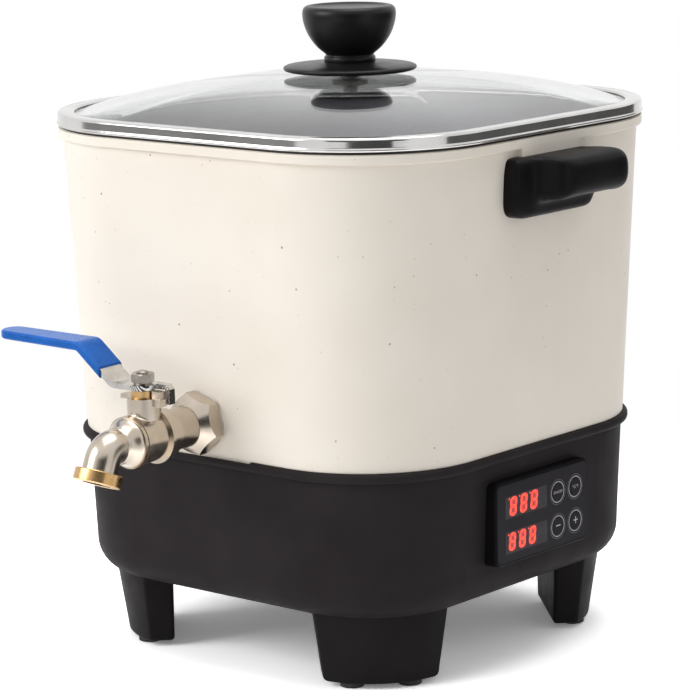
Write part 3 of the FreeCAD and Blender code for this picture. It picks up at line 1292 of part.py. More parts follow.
def make_spout():
    """Curved spout screwed into the valve body; its ring sits round the straight outlet."""
    bend = bend_solid(PIPE_RADIUS).cut(bend_solid(PIPE_BORE))
    outlet = at_outlet(tube(PIPE_RADIUS, PIPE_BORE, 0.0, OUTLET_STRAIGHT + SPOUT_RING_TALL - SPOUT_LIP))
    return in_place(fused([bored(SEAT_OUTER, PIPE_BORE, SEAT_END, SPIGOT_END),
                           bored(PIPE_RADIUS, PIPE_BORE, SPIGOT_END - 1, BEND_START), bend, outlet]))


def make_spout_ring():
    end = OUTLET_STRAIGHT + SPOUT_RING_TALL
    ring = fused([tube(SPOUT_RING_RADIUS, PIPE_RADIUS + FIT, OUTLET_STRAIGHT, end - SPOUT_LIP),
                  tube(SPOUT_RING_RADIUS, SPOUT_LIP_BORE, end - SPOUT_LIP, end)])
    rims = edges_at(ring, lambda m, e: abs(math.hypot(m.x, m.y) - SPOUT_RING_RADIUS) < 0.01 and len(e.Vertexes) == 1)
    return in_place(at_outlet(ring.makeChamfer(0.4, rims)))


def all_parts():
    """Every node of the assembly by name."""
    housing = make_base_housing()
    parts = {
        "pot": make_pot(),
        "right_handle": make_handle(1),
        "left_handle": make_handle(-1),
        "handle_screws": make_handle_screws(),
        "lid_glass": make_lid_glass(),
        "lid_rim": make_lid_rim(),
        "lid_washer": make_lid_washer(),
        "knob_spacer": make_knob_spacer(),
        "knob_plate": make_knob_plate(),
        "lid_knob": make_knob(),
        "knob_screw": make_knob_screw(),
        "heating_element": make_heating_element(),
        "heater_retainer": make_heater_retainer(),
        "retainer_screws": make_retainer_screws(),
        "heat_shield": make_heat_shield(),
        "temperature_sensor": make_temperature_sensor(),
        "thermal_cutout": make_thermal_cutout(),
        "insulating_washers": make_insulating_washers(),
        "pot_screws": make_pot_screws(),
        "base_housing": housing,
        "bottom_cover": make_bottom_cover(),
        "cover_screws": make_cover_screws(),
        "leg_screws": make_leg_screws(),
        "foot_pads": make_foot_pads(),
        "panel_bezel": make_panel_bezel(),
        "panel_sheet": make_panel_sheet(),
        "upper_display": make_display(DISPLAY_RISE[0]),
        "lower_display": make_display(DISPLAY_RISE[1]),
        "key_board": make_key_board(),
        "key_board_screws": make_board_screws(),
        "control_board": make_control_board(),
        "control_board_screws": make_control_screws(),
        "cord_gland": make_cord_gland(housing),
        "cord_gland_nut": make_gland_lock_nut(housing),
        "outer_gasket": make_outer_gasket(),
        "inner_gasket": make_inner_gasket(),
        "bulkhead_nut": make_bulkhead_nut(),
        "inner_locknut": make_inner_nut(),
        "valve_nipple": make_valve_nipple(),
        "valve_body": make_valve_body(),
        "ball_seats": make_ball_seats(),
        "stem_packing": make_stem_packing(),
        "gland_nut": make_gland_nut(),
        "spout": make_spout(),
        "spout_ring": make_spout_ring(),
        "valve_ball": make_ball(),
        "valve_stem": make_stem(),
        "valve_lever": make_lever(),
        "lever_sleeve": make_lever_sleeve(),
        "lever_nut": make_lever_nut(),
    }
    for name, turn in leg_turns().items():
        parts[name] = make_leg(turn)
    for name, at in key_spots().items():
        parts[name] = make_key(at)
    return parts


os.makedirs("parts", exist_ok=True)
for name, shape in all_parts().items():
    shape.exportStep("parts/" + name + ".step")
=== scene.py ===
import math
import bpy
from mathutils import Matrix, Vector


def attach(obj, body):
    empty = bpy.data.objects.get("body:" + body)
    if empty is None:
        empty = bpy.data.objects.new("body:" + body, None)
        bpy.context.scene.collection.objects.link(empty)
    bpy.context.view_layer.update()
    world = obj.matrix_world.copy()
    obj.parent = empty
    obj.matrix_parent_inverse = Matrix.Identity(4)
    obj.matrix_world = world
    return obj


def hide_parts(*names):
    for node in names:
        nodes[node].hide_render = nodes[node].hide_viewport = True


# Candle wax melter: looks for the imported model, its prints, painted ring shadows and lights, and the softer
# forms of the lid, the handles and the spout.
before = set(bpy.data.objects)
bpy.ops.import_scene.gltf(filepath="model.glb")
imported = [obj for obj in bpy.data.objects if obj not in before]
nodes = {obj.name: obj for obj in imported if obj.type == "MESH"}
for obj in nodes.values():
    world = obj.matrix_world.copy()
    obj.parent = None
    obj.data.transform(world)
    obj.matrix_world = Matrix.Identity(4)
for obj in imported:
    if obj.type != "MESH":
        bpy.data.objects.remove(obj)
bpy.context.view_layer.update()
MM = 0.001


# ---------------------------------------------------------------- shader helpers
def new_finish(name, **sockets):
    """Material with one Principled shader; sockets are given by name with _ for spaces."""
    material = bpy.data.materials.new(name)
    material.use_nodes = True
    tree = material.node_tree
    shader = tree.nodes["Principled BSDF"]
    for socket, value in sockets.items():
        shader.inputs[socket.replace("_", " ")].default_value = value
    return material, tree, shader


def piece_coords(tree, stretch=(1.0, 1.0, 1.0)):
    """The piece's own coordinates in metres, stretched along its axes."""
    coords = tree.nodes.new("ShaderNodeTexCoord")
    mapping = tree.nodes.new("ShaderNodeMapping")
    mapping.inputs["Scale"].default_value = stretch
    tree.links.new(coords.outputs["Object"], mapping.inputs["Vector"])
    return mapping.outputs["Vector"]


def axes(tree):
    """x, y and z of the piece's own coordinates."""
    parts = tree.nodes.new("ShaderNodeSeparateXYZ")
    tree.links.new(piece_coords(tree), parts.inputs["Vector"])
    return [parts.outputs[axis] for axis in "XYZ"]


def noise(tree, size, detail=2.0, stretch=(1.0, 1.0, 1.0)):
    """Noise whose blotches are about the given size in metres."""
    texture = tree.nodes.new("ShaderNodeTexNoise")
    texture.inputs["Scale"].default_value = 1.0 / size
    texture.inputs["Detail"].default_value = detail
    tree.links.new(piece_coords(tree, stretch), texture.inputs["Vector"])
    return texture.outputs["Fac"]


def cells(tree, size):
    """Scattered points about the given distance apart: how far each is, and a random number."""
    texture = tree.nodes.new("ShaderNodeTexVoronoi")
    texture.inputs["Scale"].default_value = 1.0 / size
    tree.links.new(piece_coords(tree), texture.inputs["Vector"])
    parts = tree.nodes.new("ShaderNodeSeparateColor")
    tree.links.new(texture.outputs["Color"], parts.inputs["Color"])
    return texture.outputs["Distance"], parts.outputs["Red"]


def shades(tree, source, stops):
    """Colours along a value, from (place, colour) stops."""
    ramp = tree.nodes.new("ShaderNodeValToRGB")
    marks = ramp.color_ramp.elements
    while len(marks) < len(stops):
        marks.new(0.5)
    for mark, (place, colour) in zip(marks, stops):
        mark.position = place
        mark.color = (*colour, 1.0)
    tree.links.new(source, ramp.inputs["Fac"])
    return ramp.outputs["Color"]


def spread(tree, source, low, high, source_low=0.3, source_high=0.7):
    """A value mapped onto the range from low to high."""
    node = tree.nodes.new("ShaderNodeMapRange")
    node.inputs["From Min"].default_value = source_low
    node.inputs["From Max"].default_value = source_high
    node.inputs["To Min"].default_value = low
    node.inputs["To Max"].default_value = high
    tree.links.new(source, node.inputs["Value"])
    return node.outputs["Result"]


def combine(tree, operation, first, second=0.0):
    """Arithmetic on one or two values, each an output or a number."""
    node = tree.nodes.new("ShaderNodeMath")
    node.operation = operation
    for socket, value in zip(node.inputs, (first, second)):
        if isinstance(value, (int, float)):
            socket.default_value = value
        else:
            tree.links.new(value, socket)
    return node.outputs["Value"]


def painted_over(tree, under, colour, mask):
    """A colour laid over another where the mask is 1."""
    mix = tree.nodes.new("ShaderNodeMix")
    mix.data_type = "RGBA"
    tree.links.new(mask, mix.inputs["Factor"])
    tree.links.new(under, mix.inputs["A"])
    if isinstance(colour, tuple):
        mix.inputs["B"].default_value = (*colour, 1.0)
    else:
        tree.links.new(colour, mix.inputs["B"])
    return mix.outputs["Result"]


def soft_band(tree, value, middle, half, soft):
    """1 within half of the middle, falling to 0 over the soft distance."""
    away = combine(tree, "ABSOLUTE", combine(tree, "SUBTRACT", value, middle))
    return spread(tree, away, 1.0, 0.0, half, half + soft)


def blended(tree, share, first, second, end="Material Output"):
    """Surface of two shaders; the share says how much of the second one shows."""
    mix = tree.nodes.new("ShaderNodeMixShader")
    tree.links.new(share, mix.inputs["Fac"])
    tree.links.new(first, mix.inputs[1])
    tree.links.new(second, mix.inputs[2])
    tree.links.new(mix.outputs["Shader"], tree.nodes[end].inputs["Surface"])


def seen_rays(tree):
    """1 for rays that come from the camera, straight or by way of metal and glass."""
    rays = tree.nodes.new("ShaderNodeLightPath")
    seen = combine(tree, "MAXIMUM", rays.outputs["Is Camera Ray"], rays.outputs["Is Glossy Ray"])
    return combine(tree, "MAXIMUM", seen, rays.outputs["Is Transmission Ray"])


def relief(tree, shader, height, depth):
    """Small relief of the surface, with its depth in metres."""
    bump = tree.nodes.new("ShaderNodeBump")
    bump.inputs["Distance"].default_value = depth
    bump.inputs["Strength"].default_value = 1.0
    tree.links.new(height, bump.inputs["Height"])
    tree.links.new(bump.outputs["Normal"], shader.inputs["Normal"])


GLOSS_BLOTCH = 0.35           # size of the blotches of gloss against those of colour


def two_tone(name, dark, light, size, rough, grain, depth, metallic=0.0, **sockets):
    """Finish with a slow drift between two close shades, uneven gloss and a fine grain.

    size is that of the colour's blotches, grain and depth are those of the relief, all in metres; rough
    holds the lowest and the highest roughness.
    """
    material, tree, shader = new_finish(name, Metallic=metallic, **sockets)
    drift = noise(tree, size, 3.0)
    tree.links.new(shades(tree, drift, [(0.35, dark), (0.65, light)]), shader.inputs["Base Color"])
    tree.links.new(spread(tree, noise(tree, size * GLOSS_BLOTCH, 3.0), *rough), shader.inputs["Roughness"])
    relief(tree, shader, noise(tree, grain), depth)
    return material


# ---------------------------------------------------------------- finishes
POT_CORNER_CENTRE = 53.2 * MM
POT_MIDDLE_OF_WALL = 60.3 * MM      # from the corner centre to the middle of the wall, at the seam
POT_LEAN = 0.0503
POT_SEAM = 110.8 * MM
POT_FLOOR_LEVEL = 102.0 * MM
# painted shade: above this level the pot is painted black for the shaded gap under the lid rim
RIM_GAP_SHADE_LEVEL = 263.35 * MM
CREAM = [(0.3, (0.880, 0.808, 0.712)), (0.7, (0.915, 0.850, 0.760))]
LINING = [(0.3, (0.085, 0.080, 0.096)), (0.7, (0.108, 0.102, 0.120))]
# colour of that painted shade under the lid rim
RIM_GAP_SHADE = (0.016, 0.015, 0.015)
SPECKS = (                    # metres apart, reach of the largest, share left without one, colour
    (0.0115, 0.055, 0.40, (0.38, 0.28, 0.22)),
    (0.0080, 0.075, 0.35, (0.52, 0.45, 0.38)),
    (0.0050, 0.090, 0.40, (0.70, 0.63, 0.55)),
)
STREAK_SIZE = 0.0016
STREAK_STRETCH = (1.0, 1.0, 0.03)
STREAK_SHARE = 0.8
PORE_SIZE = 0.0009
COATING_DEPTH = 0.00002


def speckled_coating():
    """Cream coating with fine specks outside, dark non-stick inside, and painted shade along its top edge,
    for the shaded gap under the lid rim.
    """
    material, tree, shader = new_finish("speckled_cream_coating", Specular_IOR_Level=0.45)
    cream = shades(tree, noise(tree, 0.05, 3.0), CREAM)
    for size, reach, bare, tint in SPECKS:
        distance, chance = cells(tree, size)
        radius = spread(tree, chance, 0.0, reach, bare, 1.0)
        cream = painted_over(tree, cream, tint, combine(tree, "LESS_THAN", distance, radius))
    x, y, z = axes(tree)
    squares = []
    for axis in (x, y):
        past = combine(tree, "SUBTRACT", combine(tree, "ABSOLUTE", axis), POT_CORNER_CENTRE)
        reach = combine(tree, "MAXIMUM", past, 0.0)
        squares.append(combine(tree, "MULTIPLY", reach, reach))
    radial = combine(tree, "SQRT", combine(tree, "ADD", *squares))
    lean = combine(tree, "MULTIPLY", combine(tree, "SUBTRACT", z, POT_SEAM), POT_LEAN)
    wall = combine(tree, "ADD", lean, POT_MIDDLE_OF_WALL)
    inside = combine(tree, "MULTIPLY", combine(tree, "LESS_THAN", radial, wall),
                     combine(tree, "GREATER_THAN", z, POT_FLOOR_LEVEL))
    # painted shade: the top edge is painted black where the gap under the lid rim lies in shadow
    rim_gap_shade = combine(tree, "GREATER_THAN", z, RIM_GAP_SHADE_LEVEL)
    lining = shades(tree, noise(tree, 0.02, 4.0), LINING)
    colour = painted_over(tree, cream, lining, inside)
    colour = painted_over(tree, colour, RIM_GAP_SHADE, rim_gap_shade)
    tree.links.new(colour, shader.inputs["Base Color"])
    tree.links.new(spread(tree, noise(tree, 0.03, 3.0), 0.36, 0.48), shader.inputs["Roughness"])
    streaks = combine(tree, "MULTIPLY", noise(tree, STREAK_SIZE, stretch=STREAK_STRETCH), STREAK_SHARE)
    relief(tree, shader, combine(tree, "ADD", streaks, noise(tree, PORE_SIZE)), COATING_DEPTH)
    return material


GLASS_TINT = (0.97, 0.985, 0.98, 1.0)
GLASS_IOR = 1.48
SMEAR_ROUGHNESS = 0.012


def clear_glass():
    """Clear lid glass that lets the lamps through to what is under it."""
    material, tree, shader = new_finish("clear_lid_glass", Transmission_Weight=1.0, Roughness=0.0,
                                        IOR=GLASS_IOR, Base_Color=GLASS_TINT)
    smears = spread(tree, noise(tree, 0.04, 4.0), 0.0, SMEAR_ROUGHNESS, 0.45, 0.75)
    tree.links.new(smears, shader.inputs["Roughness"])
    through = tree.nodes.new("ShaderNodeBsdfTransparent")
    rays = tree.nodes.new("ShaderNodeLightPath")
    blended(tree, rays.outputs["Is Shadow Ray"], shader.outputs["BSDF"], through.outputs["BSDF"])
    return material


UPPER_DIGITS = (-25.0, -16.6, -8.2)     # middles of the digits along the panel, mm
LOWER_DIGITS = (-26.0, -17.9, -9.7)
UPPER_LEVEL = 84.4                      # and how high they stand
LOWER_LEVEL = 66.9
GLOW_ROW = (3.6 * MM, 1.7 * MM)         # half height of the glow round a row, and its soft edge
GLOW_DIGIT = (1.7 * MM, 2.0 * MM)       # half width of the glow round a digit, and its soft edge
GLOW_RED = [(0.0, (0.0, 0.0, 0.0)), (0.5, (0.10, 0.006, 0.006)), (1.0, (0.46, 0.035, 0.028))]
SMOKE = [(0.3, (0.048, 0.045, 0.052)), (0.7, (0.060, 0.056, 0.064))]


def glowing_lens():
    """Smoked lens of the displays, with the red glow of the digits behind it."""
    material, tree, shader = new_finish("smoked_lens", Specular_IOR_Level=0.05, Emission_Strength=1.0)
    tree.links.new(shades(tree, noise(tree, 0.01), SMOKE), shader.inputs["Base Color"])
    tree.links.new(spread(tree, noise(tree, 0.004), 0.18, 0.26), shader.inputs["Roughness"])
    _, y, z = axes(tree)
    glow = None
    for level, places in ((UPPER_LEVEL, UPPER_DIGITS), (LOWER_LEVEL, LOWER_DIGITS)):
        row = soft_band(tree, z, level * MM, *GLOW_ROW)
        for place in places:
            spot = combine(tree, "MULTIPLY", row, soft_band(tree, y, place * MM, *GLOW_DIGIT))
            glow = spot if glow is None else combine(tree, "MAXIMUM", glow, spot)
    tree.links.new(shades(tree, glow, GLOW_RED), shader.inputs["Emission Color"])
    return material


STEM_Y = -156.66 * MM
LEVER_HEAD_RADIUS = 7.0 * MM
HEAD_SKIN = 0.06 * MM         # how far in from the head's edge its cut face reaches
ARM_SIDE = -1.5 * MM          # the arm leaves the head on this side, so no edge shows there
TAIL_START = 6.5 * MM
TAIL_NEAR_Y = -153.68 * MM
TAIL_SKIN = 0.13 * MM
TAIL_FACE = 13.8 * MM         # past this the tail is bent down
SHEAR_MARKS = 1.05 * MM       # from one mark of the shears to the next
SHEAR_SLANT = (0.6, 0.45)     # lean of the marks along y and z
PLATING = [(0.3, (0.50, 0.485, 0.465)), (0.7, (0.64, 0.625, 0.605))]
SHEARED = [(0.0, (0.012, 0.012, 0.014)), (1.0, (0.80, 0.79, 0.78))]
# painted reflection of the dark base, laid on the bent-down part of the tail
PAINTED_BASE_REFLECTION = (0.045, 0.043, 0.042)


def sheared_steel():
    """Plated steel whose cut edges, on the head and the tail, carry slanting marks of the shears, and whose
    bent-down tail carries a painted reflection of the dark base.
    """
    material, tree, shader = new_finish("plated_lever_steel", Metallic=1.0)
    plain = shades(tree, noise(tree, 0.006, 3.0), PLATING)
    x, y, z = axes(tree)
    along = combine(tree, "SUBTRACT", y, STEM_Y)
    squares = combine(tree, "ADD", combine(tree, "MULTIPLY", x, x), combine(tree, "MULTIPLY", along, along))
    head_edge = combine(tree, "GREATER_THAN", combine(tree, "SQRT", squares), LEVER_HEAD_RADIUS - HEAD_SKIN)
    head_edge = combine(tree, "MULTIPLY", head_edge, combine(tree, "GREATER_THAN", x, ARM_SIDE))
    depth = combine(tree, "ABSOLUTE", combine(tree, "SUBTRACT", y, TAIL_NEAR_Y))
    tail_edge = combine(tree, "LESS_THAN", depth, TAIL_SKIN)
    tail = combine(tree, "GREATER_THAN", x, TAIL_START)
    cut = combine(tree, "ADD", combine(tree, "MULTIPLY", head_edge, combine(tree, "SUBTRACT", 1.0, tail)),
                  combine(tree, "MULTIPLY", tail_edge, tail))
    slant = combine(tree, "ADD", combine(tree, "SUBTRACT", x, combine(tree, "MULTIPLY", y, SHEAR_SLANT[0])),
                    combine(tree, "MULTIPLY", z, SHEAR_SLANT[1]))
    wave = combine(tree, "SINE", combine(tree, "MULTIPLY", slant, 2 * math.pi / SHEAR_MARKS))
    marks = shades(tree, spread(tree, wave, 0.0, 1.0, -0.5, 0.3), SHEARED)
    # painted reflection: past TAIL_FACE the tail is painted near black, as the dark base below would show in
    # it
    tail_reflection_mask = combine(tree, "GREATER_THAN", x, TAIL_FACE)
    plain = painted_over(tree, plain, PAINTED_BASE_REFLECTION, tail_reflection_mask)
    tree.links.new(painted_over(tree, plain, marks, cut), shader.inputs["Base Color"])
    tree.links.new(spread(tree, noise(tree, 0.003, 3.0), 0.16, 0.30), shader.inputs["Roughness"])
    relief(tree, shader, noise(tree, 0.0009), 0.00001)
    return material


LIT_RED = [(0.3, (0.86, 0.036, 0.018)), (0.7, (0.92, 0.085, 0.048))]


def lit_red():
    """Lit segments of the displays."""
    material, tree, shader = new_finish("lit_red_segments", Roughness=0.5, Emission_Strength=1.0)
    glow = shades(tree, noise(tree, 0.0012, 1.0), LIT_RED)
    tree.links.new(glow, shader.inputs["Emission Color"])
    tree.links.new(glow, shader.inputs["Base Color"])
    return material


FINISHES = {
    "coating": speckled_coating(),
    "glass": clear_glass(),
    "lit": lit_red(),
    "case": two_tone("matte_black_case", (0.0230, 0.0196, 0.0206), (0.0288, 0.0248, 0.0258), 0.04,
                     (0.50, 0.62), 0.0007, 0.00003, Specular_IOR_Level=0.04),
    "leg": two_tone("black_leg_moulding", (0.0125, 0.0110, 0.0115), (0.0170, 0.0150, 0.0155), 0.03,
                    (0.46, 0.58), 0.0006, 0.00002, Specular_IOR_Level=0.05),
    "handle": two_tone("black_handle_moulding", (0.0065, 0.0060, 0.0060), (0.0100, 0.0092, 0.0092), 0.02,
                       (0.34, 0.44), 0.0006, 0.00003, Specular_IOR_Level=0.08),
    "knob": two_tone("smooth_black_knob", (0.007, 0.0066, 0.0068), (0.010, 0.0095, 0.0098), 0.02,
                     (0.29, 0.36), 0.0012, 0.00001, Specular_IOR_Level=0.22),
    "pad": two_tone("foot_rubber", (0.012, 0.012, 0.012), (0.024, 0.023, 0.023), 0.006,
                    (0.65, 0.85), 0.0007, 0.00004),
    "polished": two_tone("polished_steel_band", (0.60, 0.59, 0.58), (0.70, 0.69, 0.68), 0.03,
                         (0.10, 0.17), 0.0011, 0.000004, 1.0),
    "steel": two_tone("plated_steel", (0.44, 0.42, 0.40), (0.56, 0.54, 0.52), 0.01,
                      (0.24, 0.34), 0.0007, 0.000006, 1.0),
    "nickel": two_tone("satin_nickel", (0.50, 0.435, 0.360), (0.58, 0.510, 0.430), 0.012,
                       (0.20, 0.27), 0.0009, 0.000006, 1.0),
    "brass": two_tone("turned_brass", (0.56, 0.345, 0.140), (0.65, 0.420, 0.195), 0.010,
                      (0.24, 0.31), 0.0006, 0.000005, 1.0),
    "lever": sheared_steel(),
    "nut": two_tone("turned_nut_steel", (0.27, 0.245, 0.215), (0.36, 0.33, 0.295), 0.006,
                    (0.20, 0.28), 0.0006, 0.000006, 1.0),
    "sleeve": two_tone("blue_vinyl_sleeve", (0.0030, 0.100, 0.42), (0.0050, 0.120, 0.50), 0.014,
                       (0.24, 0.31), 0.0013, 0.000012, Specular_IOR_Level=0.20),
    "panel": two_tone("panel_front", (0.0165, 0.0148, 0.0185), (0.0200, 0.0180, 0.0222), 0.02,
                      (0.30, 0.38), 0.0012, 0.000006, Specular_IOR_Level=0.05),
    "frame": two_tone("panel_surround", (0.0062, 0.0056, 0.0068), (0.0085, 0.0076, 0.0090), 0.02,
                      (0.42, 0.50), 0.0007, 0.00002, Specular_IOR_Level=0.04),
    "window": two_tone("smoked_window", (0.048, 0.044, 0.051), (0.060, 0.055, 0.063), 0.012,
                       (0.16, 0.24), 0.0015, 0.000003, Specular_IOR_Level=0.05),
    "lens": glowing_lens(),
    "keycap": two_tone("key_caps", (0.0125, 0.0110, 0.0130), (0.0165, 0.0150, 0.0170), 0.006,
                       (0.34, 0.44), 0.0007, 0.000006, Specular_IOR_Level=0.05),
    "print": two_tone("grey_print", (0.36, 0.34, 0.37), (0.46, 0.44, 0.47), 0.002,
                      (0.40, 0.50), 0.0005, 0.000004),
    # painted shadow: the faint grey of the outer ring round each key ring
    "ring_shadow": two_tone("painted_ring_shadow", (0.085, 0.08, 0.09), (0.115, 0.11, 0.12), 0.002,
                            (0.40, 0.50), 0.0005, 0.000004),
    "seal": two_tone("white_seal", (0.74, 0.73, 0.70), (0.82, 0.81, 0.78), 0.006,
                     (0.35, 0.45), 0.0008, 0.00001),
    "gasket": two_tone("pale_silicone", (0.42, 0.39, 0.35), (0.50, 0.47, 0.43), 0.006,
                       (0.45, 0.60), 0.0008, 0.00002),
    "board": two_tone("green_board", (0.020, 0.10, 0.045), (0.030, 0.14, 0.065), 0.006,
                      (0.35, 0.50), 0.0015, 0.00002),
    "sheath": two_tone("metal_sheath", (0.45, 0.45, 0.46), (0.58, 0.58, 0.59), 0.008,
                       (0.35, 0.48), 0.0008, 0.00001, 1.0),
}

WORN_BY = {
    "coating": ["pot"],
    "glass": ["lid_glass"],
    "case": ["base_housing", "bottom_cover"],
    "leg": ["front_right_leg", "back_right_leg", "back_left_leg", "front_left_leg", "cord_gland",
            "cord_gland_nut"],
    "handle": ["right_handle", "left_handle"],
    "knob": ["lid_knob", "knob_plate"],
    "pad": ["foot_pads"],
    "polished": ["lid_rim"],
    "steel": ["lid_washer", "knob_spacer", "heat_shield", "heater_retainer", "handle_screws", "knob_screw",
              "retainer_screws", "pot_screws", "cover_screws", "leg_screws", "key_board_screws",
              "control_board_screws"],
    "nut": ["lever_nut", "valve_stem"],
    "lever": ["valve_lever"],
    "nickel": ["valve_body", "valve_nipple", "bulkhead_nut", "inner_locknut", "spout", "valve_ball"],
    "brass": ["spout_ring", "gland_nut"],
    "sleeve": ["lever_sleeve"],
    "panel": ["panel_sheet"],
    "frame": ["panel_bezel"],
    "window": ["upper_display", "lower_display"],
    "keycap": ["key_on_off", "key_units", "key_minus", "key_plus"],
    "seal": ["ball_seats", "stem_packing"],
    "gasket": ["outer_gasket", "inner_gasket", "insulating_washers"],
    "board": ["control_board", "key_board"],
    "sheath": ["heating_element", "temperature_sensor", "thermal_cutout"],
}
for finish, wearers in WORN_BY.items():
    for wearer in wearers:
        nodes[wearer].data.materials.clear()
        nodes[wearer].data.materials.append(FINISHES[finish])


# ---------------------------------------------------------------- modelling helpers
def deselect():
    """Leave nothing selected."""
    bpy.ops.object.select_all(action="DESELECT")


def take(piece):
    """Make a piece the only one selected and the active one."""
    deselect()
    piece.select_set(True)
    bpy.context.view_layer.objects.active = piece


def settle(piece):
    """Put the piece's place into its mesh."""
    take(piece)
    bpy.ops.object.transform_apply(location=True, rotation=True, scale=True)


def finished(piece, name, finish, body):
    """Name, coat and fasten a piece."""
    piece.name = name
    piece.data.name = name
    piece.data.materials.clear()
    piece.data.materials.append(FINISHES[finish])
    settle(piece)
    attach(piece, body)


def copied(piece):
    """Copy of a piece with a mesh of its own."""
    copy = piece.copy()
    copy.data = piece.data.copy()
    bpy.context.scene.collection.objects.link(copy)
    return copy


def joined(pieces):
    """Join pieces into the first of them."""
    take(pieces[0])
    for piece in pieces:
        piece.select_set(True)
    bpy.ops.object.join()
    return bpy.context.view_layer.objects.active


def modified(piece, kind, **settings):
    """Apply a modifier with the given settings to a piece."""
    take(piece)
    bpy.ops.object.modifier_add(type=kind)
    modifier = piece.modifiers[0]
    for setting, value in settings.items():
        setattr(modifier, setting, value)
    bpy.ops.object.modifier_apply(modifier=modifier.name)


def extrude(run):
    """Extrude what is selected in edit mode along a run given in metres."""
    bpy.ops.mesh.extrude_region_move(TRANSFORM_OT_translate={"value": run})


def raise_flat(height):
    """Thicken the flat mesh in edit mode upwards and turn its faces outwards."""
    bpy.ops.mesh.select_all(action="SELECT")
    extrude((0, 0, height))
    bpy.ops.mesh.select_all(action="SELECT")
    bpy.ops.mesh.normals_make_consistent(inside=False)


def box_between(spans):
    """Box given by its spans along x, y and z in mm."""
    bpy.ops.mesh.primitive_cube_add(size=1, location=[sum(span) / 2 * MM for span in spans])
    piece = bpy.context.object
    piece.scale = [(span[1] - span[0]) * MM for span in spans]
    settle(piece)
    return piece


SLIGHT = 0.1 * MM
WELD = 0.002 * MM
TURN_STEPS = 96
CORNER_STEPS = 24


def round_corners(box, radius, segments):
    """Round the edges of a box that run along x, and stay in edit mode."""
    bpy.ops.object.mode_set(mode="EDIT")
    bpy.ops.mesh.select_mode(type="EDGE")
    bpy.ops.mesh.select_all(action="DESELECT")
    bpy.ops.object.mode_set(mode="OBJECT")
    points = box.data.vertices
    for edge in box.data.edges:
        start, end = (points[i].co for i in edge.vertices)
        edge.select = abs(start.x - end.x) > SLIGHT
    bpy.ops.object.mode_set(mode="EDIT")
    bpy.ops.mesh.bevel(offset=radius, segments=segments, affect="EDGES")


def drawn(points):
    """Line through points given in mm along x and z, left in edit mode."""
    deselect()
    bpy.ops.mesh.primitive_plane_add(size=MM)
    piece = bpy.context.object
    bpy.ops.object.mode_set(mode="EDIT")
    bpy.ops.mesh.select_mode(type="VERT")
    bpy.ops.mesh.select_all(action="SELECT")
    bpy.ops.mesh.merge(type="CENTER")
    here = (0.0, 0.0)
    for i, there in enumerate(points):
        step = ((there[0] - here[0]) * MM, 0.0, (there[1] - here[1]) * MM)
        if i:
            extrude(step)
        else:
            bpy.ops.transform.translate(value=step)
        here = there
    return piece


def closed_up(piece):
    """Weld a swept mesh, turn its faces outwards and leave edit mode with smooth shading."""
    bpy.ops.mesh.select_all(action="SELECT")
    bpy.ops.mesh.remove_doubles(threshold=WELD)
    bpy.ops.mesh.normals_make_consistent(inside=False)
    bpy.ops.object.mode_set(mode="OBJECT")
    take(piece)
    bpy.ops.object.shade_smooth()
    return piece


def spun(points, steps=TURN_STEPS):
    """Turned piece about the z axis from an outline in radius and height."""
    piece = drawn(points)
    bpy.ops.mesh.select_all(action="SELECT")
    bpy.ops.mesh.spin(steps=steps, angle=2 * math.pi, center=(0, 0, 0), axis=(0, 0, 1))
    return closed_up(piece)


def swept_square(points, centre):
    """Piece swept round a rounded square, from an outline in distance from the corner centres and height."""
    piece = drawn([(centre + away, height) for away, height in points])
    bpy.ops.mesh.select_all(action="SELECT")
    reach = centre * MM
    bpy.ops.transform.translate(value=(0, -reach, 0))
    for turn in range(4):
        angle = turn * math.pi / 2
        run = (-math.sin(angle) * 2 * reach, math.cos(angle) * 2 * reach, 0)
        extrude(run)
        corner = ((math.cos(angle) - math.sin(angle)) * reach, (math.sin(angle) + math.cos(angle)) * reach, 0)
        bpy.ops.mesh.spin(steps=CORNER_STEPS, angle=-math.pi / 2, center=corner, axis=(0, 0, 1))
    return closed_up(piece)


def facing_panel(piece, place):
    """Stand a piece drawn in x and y up against the panel, at a place given in metres."""
    piece.rotation_euler = (math.pi / 2, 0.0, math.pi / 2)
    piece.location = place


# ---------------------------------------------------------------- lid
LID_CORNER_CENTRE = 53.2
GLASS_HALF = 121.0            # mm, like the heights below
GLASS_CORNER = 67.0
GLASS_FOOT_TOP = 269.8
GLASS_THICK = 4.0
DOME_HALF = 116.3
DOME_RISE = 15.6
DOME_POWER = 3.0
DOME_SWELL = 0.06             # how far each ring is drawn towards a circle,
DOME_SWELL_START = 0.95       # from this share of the width inwards
DOME_SHARES = (1.0, 0.98, 0.95, 0.91, 0.87, 0.82, 0.76, 0.69, 0.61, 0.52, 0.42, 0.31, 0.20, 0.10, 0.03)
PLATE_OUTLINE = [(0.0, 287.6), (31.6, 287.6), (33.0, 288.0), (33.6, 288.8), (33.4, 289.6), (32.2, 290.2),
                 (26.0, 291.0), (18.0, 291.8), (14.0, 292.2), (0.0, 292.2)]
BOSS_OUTLINE = [(0.0, 285.2), (4.5, 285.2), (4.9, 285.8), (5.6, 286.8), (6.6, 287.7), (0.0, 287.7)]
KNOB_OUTLINE = [(0.0, 291.8), (12.5, 291.8), (12.9, 292.2), (12.9, 294.3), (12.5, 294.9), (11.8, 295.3),
                (12.6, 296.3), (14.4, 297.7), (16.3, 299.4), (18.0, 301.4), (19.5, 303.5), (20.8, 305.7),
                (21.8, 308.0), (22.6, 310.3), (23.2, 312.7), (23.5, 315.0), (23.5, 316.8), (23.2, 318.2),
                (22.6, 319.2), (21.6, 319.9), (20.6, 320.1), (19.6, 319.9), (18.8, 319.4), (17.6, 319.1),
                (0.0, 318.7)]
